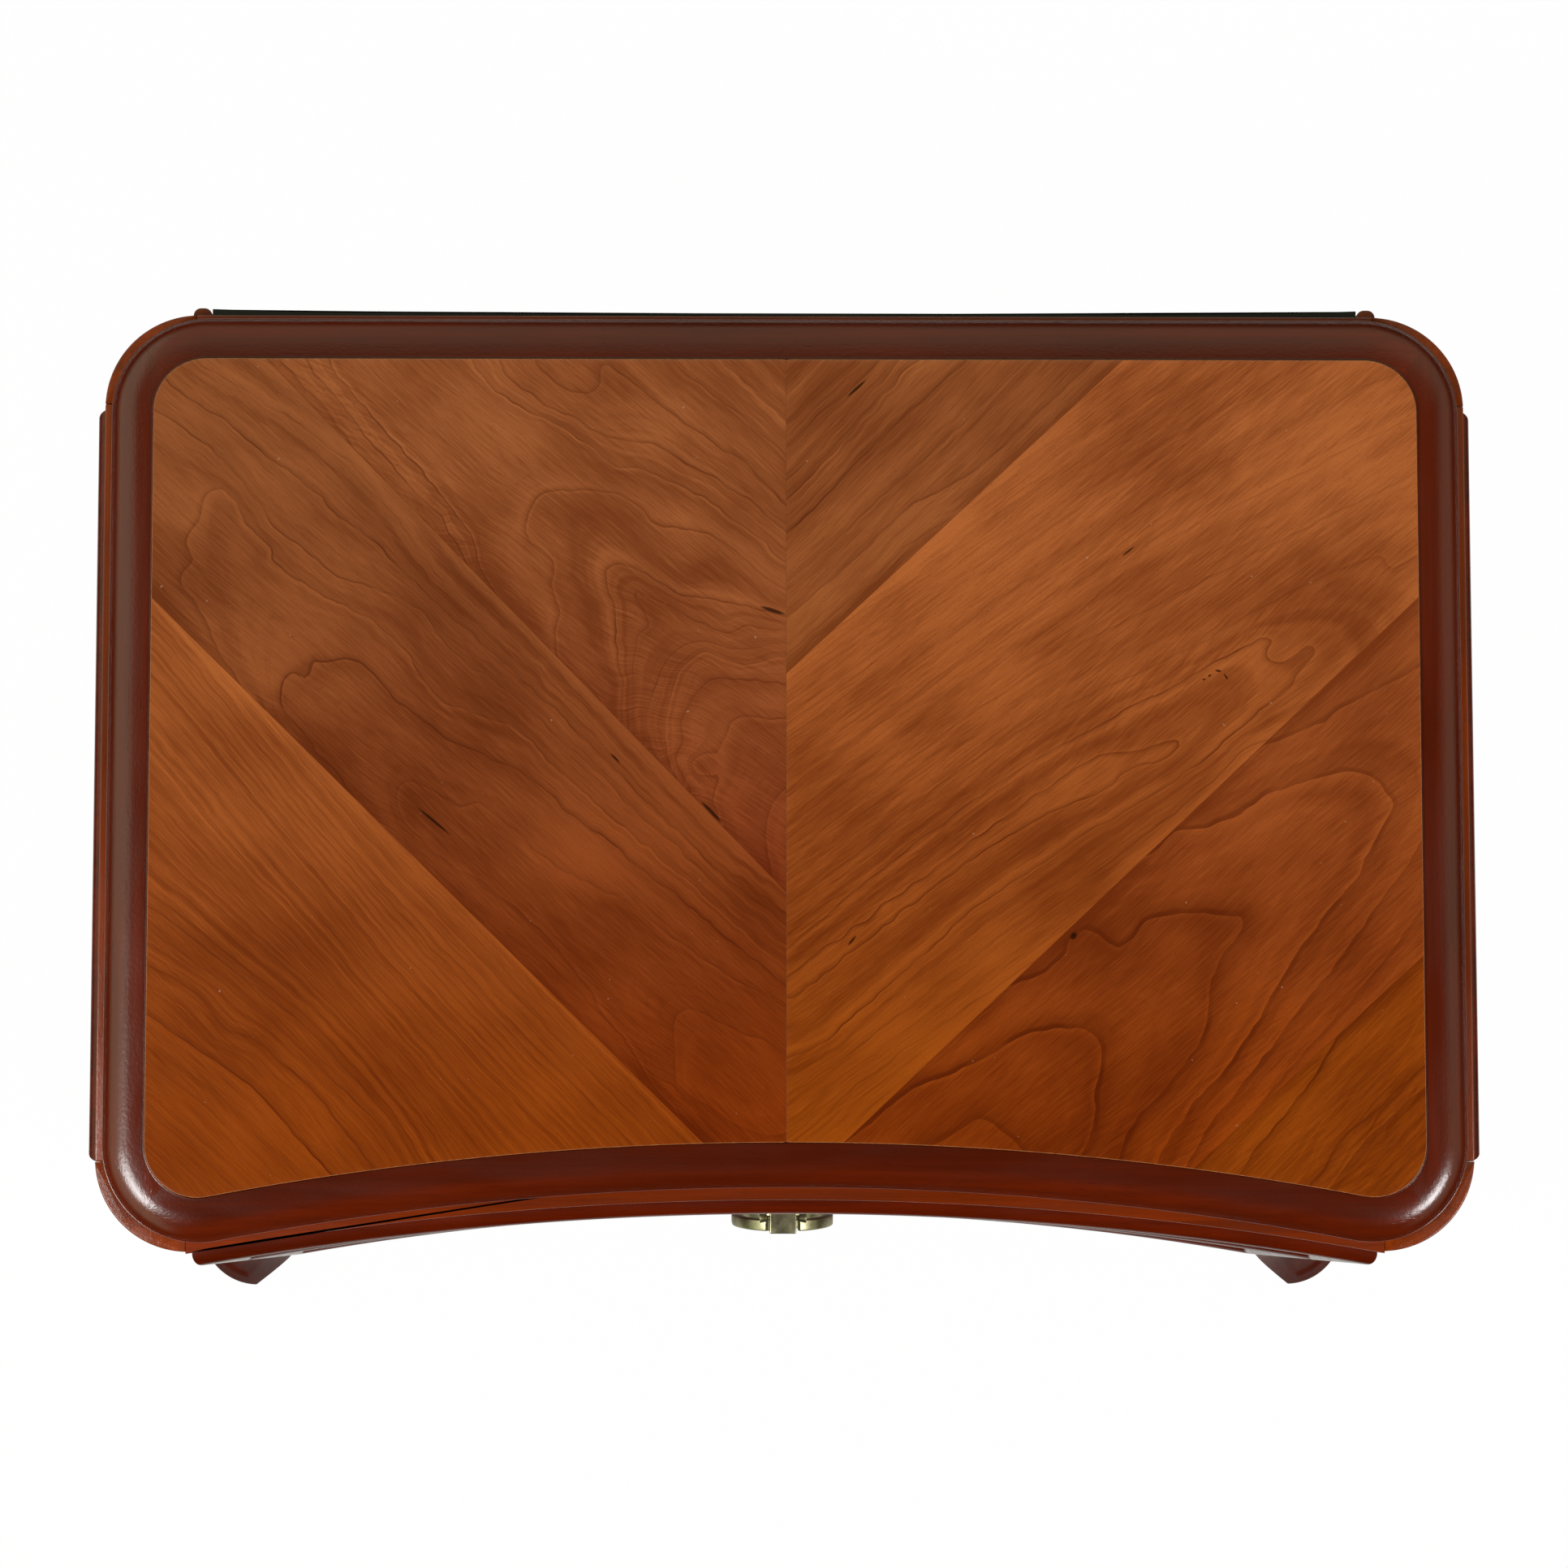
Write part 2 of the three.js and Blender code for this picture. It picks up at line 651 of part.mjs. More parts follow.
function drawer(level, z0, z1) {
  const middleZ = (z0 + z1) / 2;
  const boxBottom = z0 + boxLift;
  const boxTop = z1 - boxTopDrop;
  const bottomZ = boxBottom + drawerBottomLift;
  const name = (piece) => `${level}_drawer_${piece}`;
  addPiece(name("front"), drawerFront(z0, z1, middleZ), "panel");

  const grooveFloor = drawerSideInner + grooveDepth;
  const grooveTop = bottomZ + drawerBottomThickness + glueLine;
  const section = [
    [drawerSideOuter, boxBottom],
    [drawerSideOuter, boxTop],
    [drawerSideInner, boxTop],
    [drawerSideInner, grooveTop],
    [grooveFloor, grooveTop],
    [grooveFloor, bottomZ - glueLine],
    [drawerSideInner, bottomZ - glueLine],
    [drawerSideInner, boxBottom],
  ];
  for (const [hand, side] of [["left", -1], ["right", 1]]) {
    const points = section.map(([x, z]) => [side * x, z]);
    const blank = depthSolid(points, caseFront, drawerEnd);
    addPiece(name(`side_${hand}`), fitToFront(blank, caseFront), "inner");
  }

  const half = grooveFloor - glueLine;
  const bottom = [
    ...frontEdge(half, frontThickness + glueLine),
    [half, drawerEnd],
    [-half, drawerEnd],
  ];
  addPiece(name("bottom"), planSolid(bottom, bottomZ, bottomZ + drawerBottomThickness), "inner");
  const within = drawerSideInner - glueLine;
  const backY = drawerEnd - drawerBackThickness;
  const back = board(-within, within, backY, drawerEnd, grooveTop, boxTop - drawerBackDrop);
  addPiece(name("back"), back, "inner");
  pull(level, middleZ);
}

// Ring pull: a plate and block on the drawer front, and a ring that swings on a pin through the block

function pull(level, middleZ) {
  const name = (piece) => `${level}_pull_${piece}`;
  const plateBack = caseFront - glueLine;
  const plateFront = plateBack - pullPlateThickness;
  const blockFront = caseFront - pullReach;
  const endX = pullBlockWidth / 2 + ringEndGap;
  const meanRadius = ringRadius - ringThickness / 2;
  const endDrop = Math.sqrt(meanRadius ** 2 - endX ** 2);
  const openAngle = Math.asin(endX / meanRadius);
  const massDrop = endDrop + (meanRadius * Math.sin(openAngle)) / (Math.PI - openAngle);
  const lean = Math.atan2(knuckleSet, massDrop);
  const pinZ = middleZ;
  const pinY = caseFront - ringReach + knuckleSet * Math.cos(lean);

  const plateHalf = pullPlateWidth / 2;
  const plateShape = new THREE.Shape();
  const plateRun = plateHalf - pullPlateBevel;
  plateShape.moveTo(-plateRun, -plateRun).lineTo(plateRun, -plateRun);
  plateShape.lineTo(plateRun, plateRun).lineTo(-plateRun, plateRun);
  const plate = new THREE.ExtrudeGeometry(plateShape, {
    depth: pullPlateThickness - 2 * pullPlateBevel,
    bevelSize: pullPlateBevel,
    bevelThickness: pullPlateBevel,
    bevelSegments: 1,
  });
  plate.rotateX(Math.PI / 2).translate(0, plateBack - pullPlateBevel, pinZ);
  const screwAxis = rod(screwBore, 2 * (pullReach + overrun), "y", [0, plateFront, pinZ]);
  addPiece(name("plate"), cut(plate, screwAxis), "brass");

  const blockBack = plateFront - glueLine;
  const depth = blockBack - blockFront;
  const blockHalf = pullBlockHeight / 2;
  const outline = new THREE.Shape();
  const run = blockHalf - pullBlockRound;
  outline.moveTo(0, -run).lineTo(depth - 2 * pullBlockRound, -run);
  outline.lineTo(depth - 2 * pullBlockRound, run).lineTo(0, run);
  const block = new THREE.ExtrudeGeometry(outline, {
    depth: pullBlockWidth - 2 * pullBlockRound,
    bevelSize: pullBlockRound,
    bevelThickness: pullBlockRound,
    bevelSegments: 1,
  });
  block.rotateX(Math.PI / 2).rotateZ(Math.PI / 2);
  block.computeBoundingBox();
  const box = block.boundingBox;
  block.translate(-(box.min.x + box.max.x) / 2, blockBack - box.max.y, pinZ - (box.min.z + box.max.z) / 2);
  const pinHole = rod(pinBore, pullBlockWidth + overrun, "x", [0, pinY, pinZ]);
  const biteEnd = blockBack - screwBite;
  const socket = rod(screwBore, 2 * (screwBite + seatGap), "y", [0, blockBack, pinZ]);
  addPiece(name("block"), cut(block, pinHole, socket), "brass");

  const headFront = caseFront + frontThickness + seatGap;
  const shank = rod(screwRadius, headFront - biteEnd, "y", [0, (headFront + biteEnd) / 2, pinZ]);
  const head = rod(screwHeadRadius, screwHeadHeight, "y", [0, headFront + screwHeadHeight / 2, pinZ]);
  addPiece(name("screw"), join(shank, head), "steel");

  const pin = rod(pinRadius, 2 * (endX + knuckleLength), "x", [0, pinY, pinZ]);
  addPiece(name("pin"), pin, "brass");

  const swing = new THREE.Group();
  swing.position.set(0, pinY, pinZ);
  swing.rotation.x = lean;
  nightstand.add(swing);
  const inside = ringRadius - ringThickness;
  const ringShape = new THREE.Shape();
  const outerGap = Math.asin(endX / ringRadius);
  const innerGap = Math.asin(endX / inside);
  const top = Math.PI / 2;
  ringShape.absarc(0, 0, ringRadius - ringBevel, top + outerGap, top - outerGap + 2 * Math.PI, false);
  ringShape.absarc(0, 0, inside + ringBevel, top - innerGap, top + innerGap - 2 * Math.PI, true);
  const ring = new THREE.ExtrudeGeometry(ringShape, {
    depth: ringWidth - 2 * ringBevel,
    bevelSize: ringBevel,
    bevelThickness: ringBevel,
    bevelSegments: 1,
    curveSegments: ringSteps,
  });
  ring.rotateX(Math.PI / 2).translate(0, ringWidth / 2 - ringBevel - knuckleSet, -endDrop);
  const knuckles = [-1, 1].map((side) =>
    rod(knuckleRadius, knuckleLength, "x", [side * (endX + knuckleLength / 2), 0, 0]),
  );
  const bore = rod(pinRadius + seatGap, pullBlockWidth + 2 * ringRadius, "x", [0, 0, 0]);
  addPiece(name("ring"), cut(join(ring, ...knuckles), bore), "brass", swing);
}

topBoard();
rimPieces();
cornerPosts();
rails();
sidePanels();
backPanel();
bottomPanel();
runnersAndKickers();
feet();
drawer("upper", upperFrontBottom, upperFrontTop);
drawer("lower", lowerFrontBottom, lowerFrontTop);

export default nightstand;
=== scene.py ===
"""Two-drawer nightstand with a concave front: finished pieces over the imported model, in soft studio light.

Laid out as a Blender add-on and run as a script. Lengths are in metres. +Z is up, the front faces -Y and the
origin is on the floor.
"""

import json
import math

import bpy
import numpy as np
from bpy.props import FloatProperty, FloatVectorProperty, PointerProperty
from bpy.types import Operator, Panel, PropertyGroup
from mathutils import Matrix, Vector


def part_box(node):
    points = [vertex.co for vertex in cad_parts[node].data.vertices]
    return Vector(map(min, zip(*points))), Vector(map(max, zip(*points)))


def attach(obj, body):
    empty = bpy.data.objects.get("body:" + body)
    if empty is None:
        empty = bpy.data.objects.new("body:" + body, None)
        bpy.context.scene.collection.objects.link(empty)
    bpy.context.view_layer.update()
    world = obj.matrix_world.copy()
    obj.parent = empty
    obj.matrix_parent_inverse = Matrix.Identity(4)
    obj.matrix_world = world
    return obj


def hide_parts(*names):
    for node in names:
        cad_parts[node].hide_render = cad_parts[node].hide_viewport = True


bl_info = {
    "name": "Concave-front nightstand",
    "version": (1, 0, 0),
    "blender": (4, 5, 0),
    "location": "3D View > Sidebar > Nightstand",
    "description": "Makes the finished pieces, the finishes and the studio of a two-drawer nightstand",
    "category": "Object",
}

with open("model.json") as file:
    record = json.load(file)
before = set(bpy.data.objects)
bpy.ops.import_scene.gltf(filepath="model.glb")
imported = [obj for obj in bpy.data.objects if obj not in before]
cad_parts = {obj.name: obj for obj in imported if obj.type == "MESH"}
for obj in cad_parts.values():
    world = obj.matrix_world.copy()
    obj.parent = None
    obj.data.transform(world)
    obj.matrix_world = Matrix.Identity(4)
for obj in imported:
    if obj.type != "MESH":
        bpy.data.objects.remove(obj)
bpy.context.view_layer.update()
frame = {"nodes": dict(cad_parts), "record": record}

MM = 0.001

# Ways of shaping
SHARP_COSINE = -0.94
SIDE_SHARE = 0.45
HIDDEN_SHARE = 0.2
TURNED_SIDES = 40
ROD_CENTRE_SHARE = 0.05

# The case, seen from above
CASE_HALF_WIDTH = 359 * MM
CASE_BACK = 257.2 * MM
CASE_FRONT = -208.8 * MM
CASE_CURVE = 1760 * MM
CASE_CORNER = 49 * MM
POST_WIDTH = 47.5 * MM
OVERALL_HALF_DEPTH = 264.5 * MM
OVERALL_HALF_WIDTH = 381 * MM
JOINT_GAP = 0.05 * MM
HIDDEN_ROUND = 0.2 * MM
FIELD_SET = 1 * MM
BACK_FACE = 0.9 * MM
BACK_ROUND = 0.4 * MM
BACK_CORNER = 0.3 * MM
REAR_BEAD_RADIUS = 4 * MM
REAR_BEAD_ROUND = 0.8 * MM

# The top, seen from above
TOP_HALF_WIDTH = 354.2 * MM
TOP_BACK = 253.6 * MM
TOP_FRONT = -202.4 * MM
TOP_CURVE = 1592 * MM
TOP_CORNER = 50.6 * MM
TOP_HEIGHT = 686 * MM
RIM_WIDTH = 23 * MM
RIM_DROP = 15.4 * MM
RIM_SEAT = 667.2 * MM
MITRE_GAP = 0.03 * MM
# Painted shade beside the veneer's step: heights below the top where it begins and where it is full, its
# strength in front and behind and at the sides, and the x across which it changes.
STEP_SHADE_LOW = 3.6 * MM
STEP_SHADE_HIGH = 2.0 * MM
RIM_STEP_SHADE = (0.45, 0.12)
STEP_SHADE_ENDS = (0.3, 0.332)
RIM_SHARES = [
    (0, 0), (0.004, 0.05), (0.012, 0.085), (0.03, 0.1), (0.15, 0.108), (0.27, 0.119), (0.38, 0.134),
    (0.46, 0.152), (0.52, 0.17), (0.58, 0.193), (0.64, 0.222), (0.7, 0.26), (0.76, 0.309), (0.82, 0.373),
    (0.87, 0.44), (0.91, 0.505), (0.95, 0.58), (0.98, 0.638), (1, 0.68), (1, 0.985),
]

# Drawers and pulls
FRONT_THICKNESS = 20 * MM
BOX_GAP = 0.2 * MM
GROOVE_DEPTH = 6.2 * MM
SIDE_END_ROUND = 0.25 * MM
BOTTOM_ROUND = 0.3 * MM
RING_RADIUS = 28 * MM
RING_THICKNESS = 4.5 * MM
RING_WIDTH = 6.2 * MM
RING_END = 8.85 * MM
RING_EDGE = 0.9 * MM
KNUCKLE_SET = 4 * MM
KNUCKLE_RADIUS = 2.8 * MM
KNUCKLE_LENGTH = 4 * MM
KNUCKLE_ROUND = 0.5 * MM
PIN_RADIUS = 1.5 * MM
PIN_ROUND = 0.3 * MM
PLATE_EDGE, PLATE_CORNER = 0.9 * MM, 1.2 * MM
BLOCK_EDGE, BLOCK_CORNER = 0.6 * MM, 0.7 * MM
SCREW_POINT_RADIUS, SCREW_RADIUS, SCREW_HEAD_RADIUS = 1.6 * MM, 2 * MM, 4.5 * MM
SCREW_HEAD, SCREW_HEAD_EDGE, SCREW_POINT = 2.5 * MM, 1 * MM, 0.6 * MM
ON_AXIS = 0.01 * MM

# Feet and glides
FOOT_TOP_RADIUS = 54 * MM
TOE_RADIUS = 37 * MM
FLARE_POWER = 1.7
FOOT_ROWS, FOOT_COLUMNS = 61, 73
STILE_TAPER_SHARE = 0.4
PANEL_ABOVE_TOE = 11 * MM
PANEL_BELOW_TOP = 12 * MM
PANEL_SLOPE = 2.4 * MM
PANEL_BEAD_RISE, PANEL_BEAD_PLACE, PANEL_BEAD_WIDTH = 0.7 * MM, 1.6 * MM, 1.3 * MM
FOOT_EDGE_ROUND = 1.4 * MM
TOE_ROUND = 1.2 * MM
GLIDE_DOME = 1.1 * MM
GLIDE_SOLE_SHARE, GLIDE_CENTRE_SHARE = 0.86, 0.4

# Studio, in metres and turns in radians
FLOOR_RADIUS = 1.7
FLOOR_SIDES = 96
FLOOR_COLOUR = (0.92, 0.92, 0.92, 1)
FLOOR_MIRROR_SHARE = 0.4
WALL_COLOUR = (0.9, 1.0, 0.72, 1)
OTHER_WALLS_SHARE = 0.5
ROOM_DIM = 0.02
LAMPS = (("lamp_left", (-1.39, -0.7, 2.55), 1.0), ("lamp_right", (1.6, -1.0, 2.4), 1.05))
LAMP_TARGET = (0, 0, 0.65)
SENSOR_WIDTH = 36
CAMERA_PLACE = (-0.0308, -0.2118, 2.983)
CAMERA_TURN = (0.09476, -0.01283, -0.00051)
CAMERA_REACH = 100
WHITE = (1, 1, 1, 1)

# Depth of the fine relief of each finish
PEEL_DEPTH = 0.06 * MM
CHIP_DEPTH = 0.12 * MM
NAP_DEPTH = 0.08 * MM
BRUSH_DEPTH = 0.012 * MM
SCRATCH_DEPTH = 0.01 * MM
MOULD_DEPTH = 0.03 * MM
NICK_DEPTH = 0.03 * MM
POLISH_DEPTH = 0.006 * MM
# Painted shade: the feet take the panel stain darkened by this factor.
FOOT_PAINTED_SHADE = 0.8

# Veneer, with its overlap and wave lengths in millimetres
# The veneer's colour fades from its front colour to its back colour between these two; the back colour's
# paler, greyer tint is partly a painted sheen.
TONE_AND_SHEEN_FRONT, TONE_AND_SHEEN_BACK = -200 * MM, 200 * MM
JOINT_OVERLAP = 8
JOINT_LINE = (0.1 * MM, 0.4 * MM)
JOINT_FADE = 9 * MM
JOINT_TONE = 0.16
LINE_CORE = (0.12, 0.4)
LINE_STRENGTH = 0.85
SOFT_STRENGTH = 0.62
GLOW_STRENGTH = 0.06
GLOW_WIDTH = 3 * MM
FINE_STRENGTH = 0.42
PORE_STRENGTH = 0.38
JOINT_STRENGTH = 0.3
GUM_STRENGTH = 0.85
DUST_STRENGTH = 0.3
LATE_TINT = (0.42, 0.3, 0.24, 1)
DARK_TINT = (0.62, 0.5, 0.42, 1)
LIGHT_TINT = (1.38, 1.5, 1.6, 1)
GUM = (0.01, 0.003, 0.001, 1)
DUST = (0.55, 0.4, 0.3, 1)
MOST_RINGS = 32
WAVE_LENGTHS = (34, 21, 13, 8)
WAVES_EACH = 3
SEED_STEP = 50
SMOOTHING = 2e-4
LEAST_SLOPE = 0.01
UNUSED_SPACING = 10 * MM
SEAM_SHARE = 0.1

# The tables of the veneer are in millimetres and degrees.
# Strips of a leaf, from the first to the last joint:
#   grain: direction of the grain
#   back, front: colour at the back and at the front of the top; the paler, greyer back colour is partly a
#       painted sheen
#   straight: weight of the fine grain
#   shade: width of the soft side of a ring's dark line
#   fine: fine lines in a ring
#   bend: how far a ring bends the grain
#   waver: how far the lines waver
#   marks: strength of the dark line of ring 0, 1, 2 and so on
#   rings: ring number, and points x, y, x, y of its line
# Joints of neighbouring strips: a point x, y, the slope, and 1 where the strip past the joint is the lighter
# one beside it, or -1 where it is the strip before.
# Gum streaks: x, y, half the length, half the width, and the angle.
LEFT_STRIPS = [
    dict(grain=-46, back=(0.625, 0.338, 0.168), front=(0.495, 0.205, 0.026),
         straight=0.38, shade=4.6, fine=3, bend=3, waver=0.4,
         marks=(0.3, 1, 0.2, 0.7, 0.2, 0.7, 0.8, 0.15, 0.2, 0.12, 0.2, 0.28, 0.12, 0.2, 0.12, 0.35, 0.2,
                0.1, 0.25, 0.12, 0.2, 0.12, 0.25, 0.12, 0.2),
         rings=[
             (1, (-331, -113, -320, -121, -305, -131, -290, -141, -276, -151, -262, -166, -246, -184)),
             (3, (-331, -88, -318, -95, -303, -104, -297, -113, -289, -122, -279, -125, -271, -129,
                  -262, -138, -249, -148, -238, -160)),
             (5, (-331, -70, -318, -78, -305, -88, -295, -95, -280, -107, -268, -116, -255, -128,
                  -240, -142, -225, -157)),
             (6, (-331, -58, -318, -66, -308, -74, -298, -82, -285, -92, -270, -103, -258, -112, -247, -122,
                  -234, -135, -221, -149, -205, -167)),
             (15, (-331, 42, -312, 20, -296, 0, -280, -20, -258, -45, -240, -65, -220, -90, -200, -112,
                   -178, -137, -150, -168)),
             (22, (-310, 76, -290, 51, -268, 24, -246, -3, -222, -31, -198, -58, -170, -88, -140, -120,
                   -100, -160)),
         ]),
    dict(grain=-44, back=(0.52, 0.278, 0.146), front=(0.455, 0.165, 0.017),
         straight=0.42, shade=4.6, fine=6, bend=5, waver=0.8,
         marks=(0.4, 0.45, 0.55, 0.9, 0.75, 0.75, 0.85, 0.35, 0.3, 0.4),
         rings=[
             (1, (-56, -150, -57, -138, -58, -127, -58, -117, -54, -112, -46, -112, -36, -117, -25, -122,
                  -12, -127, -1, -134)),
             (2, (-50, -174, -62, -158, -75, -140, -84, -126, -95, -112, -104, -98, -115, -84, -125, -72,
                  -140, -58, -160, -43, -178, -32, -192, -20, -201, -8, -202, 2, -196, 7, -188, 5, -180, 0,
                  -171, -5, -160, -4, -150, -10, -140, -19, -128, -30, -118, -38, -101, -46, -86, -54,
                  -72, -64, -56, -75, -40, -87, -20, -99, -1, -110)),
             (3, (-217, -9, -223, -2, -228, 5, -231, 12, -238, 18, -244, 23, -250, 33, -257, 41, -262, 47,
                  -263, 55, -261, 61, -256, 64, -251, 62, -248, 65, -246, 70, -238, 70, -228, 71, -220, 68,
                  -212, 60, -204, 51, -196, 44, -186, 37, -176, 29, -166, 25, -155, 20, -145, 16, -136, 11,
                  -125, 2, -110, -10, -95, -22, -80, -34, -60, -50, -30, -75, -1, -98)),
             (4, (-276, 50, -285, 60, -293, 72, -298, 82, -301, 90, -307, 99, -313, 108, -314, 117,
                  -309, 124, -313, 131, -312, 137, -307, 144, -305, 150, -303, 157, -299, 161, -293, 159,
                  -287, 152, -281, 141, -275, 136, -270, 130, -269, 124, -262, 119, -255, 113, -246, 107,
                  -240, 103, -232, 100, -222, 96, -212, 89, -203, 80, -195, 70, -188, 60, -178, 49,
                  -168, 45, -158, 42, -148, 38, -138, 33, -125, 20, -110, 6, -95, -8, -75, -25, -50, -46,
                  -25, -68, -1, -88)),
             (5, (-330, 202, -318, 194, -305, 185, -293, 174, -283, 162, -273, 149, -266, 140, -258, 133,
                  -250, 127, -243, 121, -235, 116, -228, 113, -218, 110, -210, 106, -202, 103, -195, 100,
                  -190, 97, -185, 90, -180, 82, -173, 75, -165, 68, -156, 62, -145, 55, -132, 43, -118, 29,
                  -100, 14, -80, -6, -55, -28, -30, -52, -2, -76)),
             (6, (-325, 218, -315, 210, -305, 204, -297, 200, -290, 194, -280, 186, -270, 177, -258, 168,
                  -250, 162, -242, 155, -235, 148, -225, 140, -215, 132, -205, 122, -190, 108, -175, 94,
                  -150, 72, -120, 44, -90, 14, -60, -16, -30, -44, -2, -66)),
         ]),
    dict(grain=-42, back=(0.567, 0.308, 0.166), front=(0.436, 0.108, 0.006),
         straight=0.38, shade=4.4, fine=6, bend=5, waver=0.8,
         marks=(0.5, 0.6, 0.6, 0.7, 0.6, 0.6, 0.7, 1, 0.75, 0.9, 0.85, 0.7, 0.6, 0.5, 0.5),
         rings=[
             (1, (-9, -34, -10, -25, -11, -15, -9, -7, -3, 1)),
             (2, (-37, -4, -36, 5, -35, 13, -36, 23, -31, 33, -27, 40, -18, 42, -2, 40)),
             (3, (-49, 2, -57, 18, -53, 28, -55, 38, -51, 49, -44, 57, -36, 61, -22, 61, -2, 58)),
             (4, (-56, 9, -62, 28, -61, 46, -58, 60, -52, 69, -44, 75, -35, 73, -22, 69, -4, 72)),
             (5, (-66, 18, -73, 36, -71, 48, -67, 60, -61, 72, -50, 80, -38, 80, -22, 77, -4, 80)),
             (6, (-79, 38, -79, 62, -79, 75, -77, 85, -71, 90, -74, 98, -79, 106, -60, 100, -48, 92,
                  -38, 87, -30, 85, -22, 89, -15, 88, -2, 87)),
             (7, (-86, 38, -85, 48, -84, 58, -87, 68, -88, 80, -89, 95, -92, 108, -94, 117, -90, 121,
                  -82, 120, -70, 114, -58, 107, -45, 104, -30, 101, -15, 98, -2, 94)),
             (8, (-100, 56, -110, 64, -117, 72, -120, 82, -120, 90, -118, 96, -120, 103, -122, 110,
                  -121, 120, -125, 127, -133, 135, -136, 143, -133, 151, -129, 158, -120, 160, -105, 160,
                  -91, 160, -83, 156, -76, 150, -70, 143, -60, 141, -45, 139, -35, 134, -25, 127, -15, 118,
                  -2, 108)),
             (8.4, (-147, 148, -146, 158, -141, 168, -131, 174, -118, 174, -105, 171, -93, 166)),
             (8.75, (-160, 168, -171, 184, -184, 203, -198, 222)),
             (9, (-140, 88, -152, 108, -160, 122, -163, 134, -168, 143, -175, 151, -187, 167, -205, 187,
                  -219, 203, -235, 222)),
             (9, (-166, 231, -160, 222, -150, 211, -135, 203, -120, 195, -105, 186, -95, 177, -85, 172,
                  -75, 172, -65, 168, -50, 160, -38, 153, -20, 139, -2, 124)),
             (10, (-163, 113, -168, 125, -175, 138, -180, 147, -190, 156, -200, 168, -216, 185, -232, 206,
                   -250, 228)),
             (10, (-148, 222, -140, 216, -130, 209, -120, 202, -110, 198, -100, 192, -90, 188, -80, 186,
                   -70, 185, -60, 180, -50, 173, -40, 168, -30, 162, -20, 156, -10, 147, -2, 140)),
             (11, (-95, 228, -85, 220, -75, 213, -65, 205, -55, 197, -45, 190, -35, 184, -25, 178, -15, 168,
                   -2, 154)),
             (12, (-60, 228, -45, 216, -30, 205, -15, 192, -2, 180)),
             (13, (-32, 228, -18, 214, -2, 199)),
         ]),
]
LEFT_JOINTS = [(-330.6, 103.7, -0.985, -1), (-272.3, 229.9, -1.027, -1)]
LEFT_STREAKS = [
    (-183, -13, 13, 0.9, -40), (-39, -8, 9, 1.2, -46), (-7, 97.5, 8, 1.3, -18), (-89, 20, 4, 0.7, -45),
]
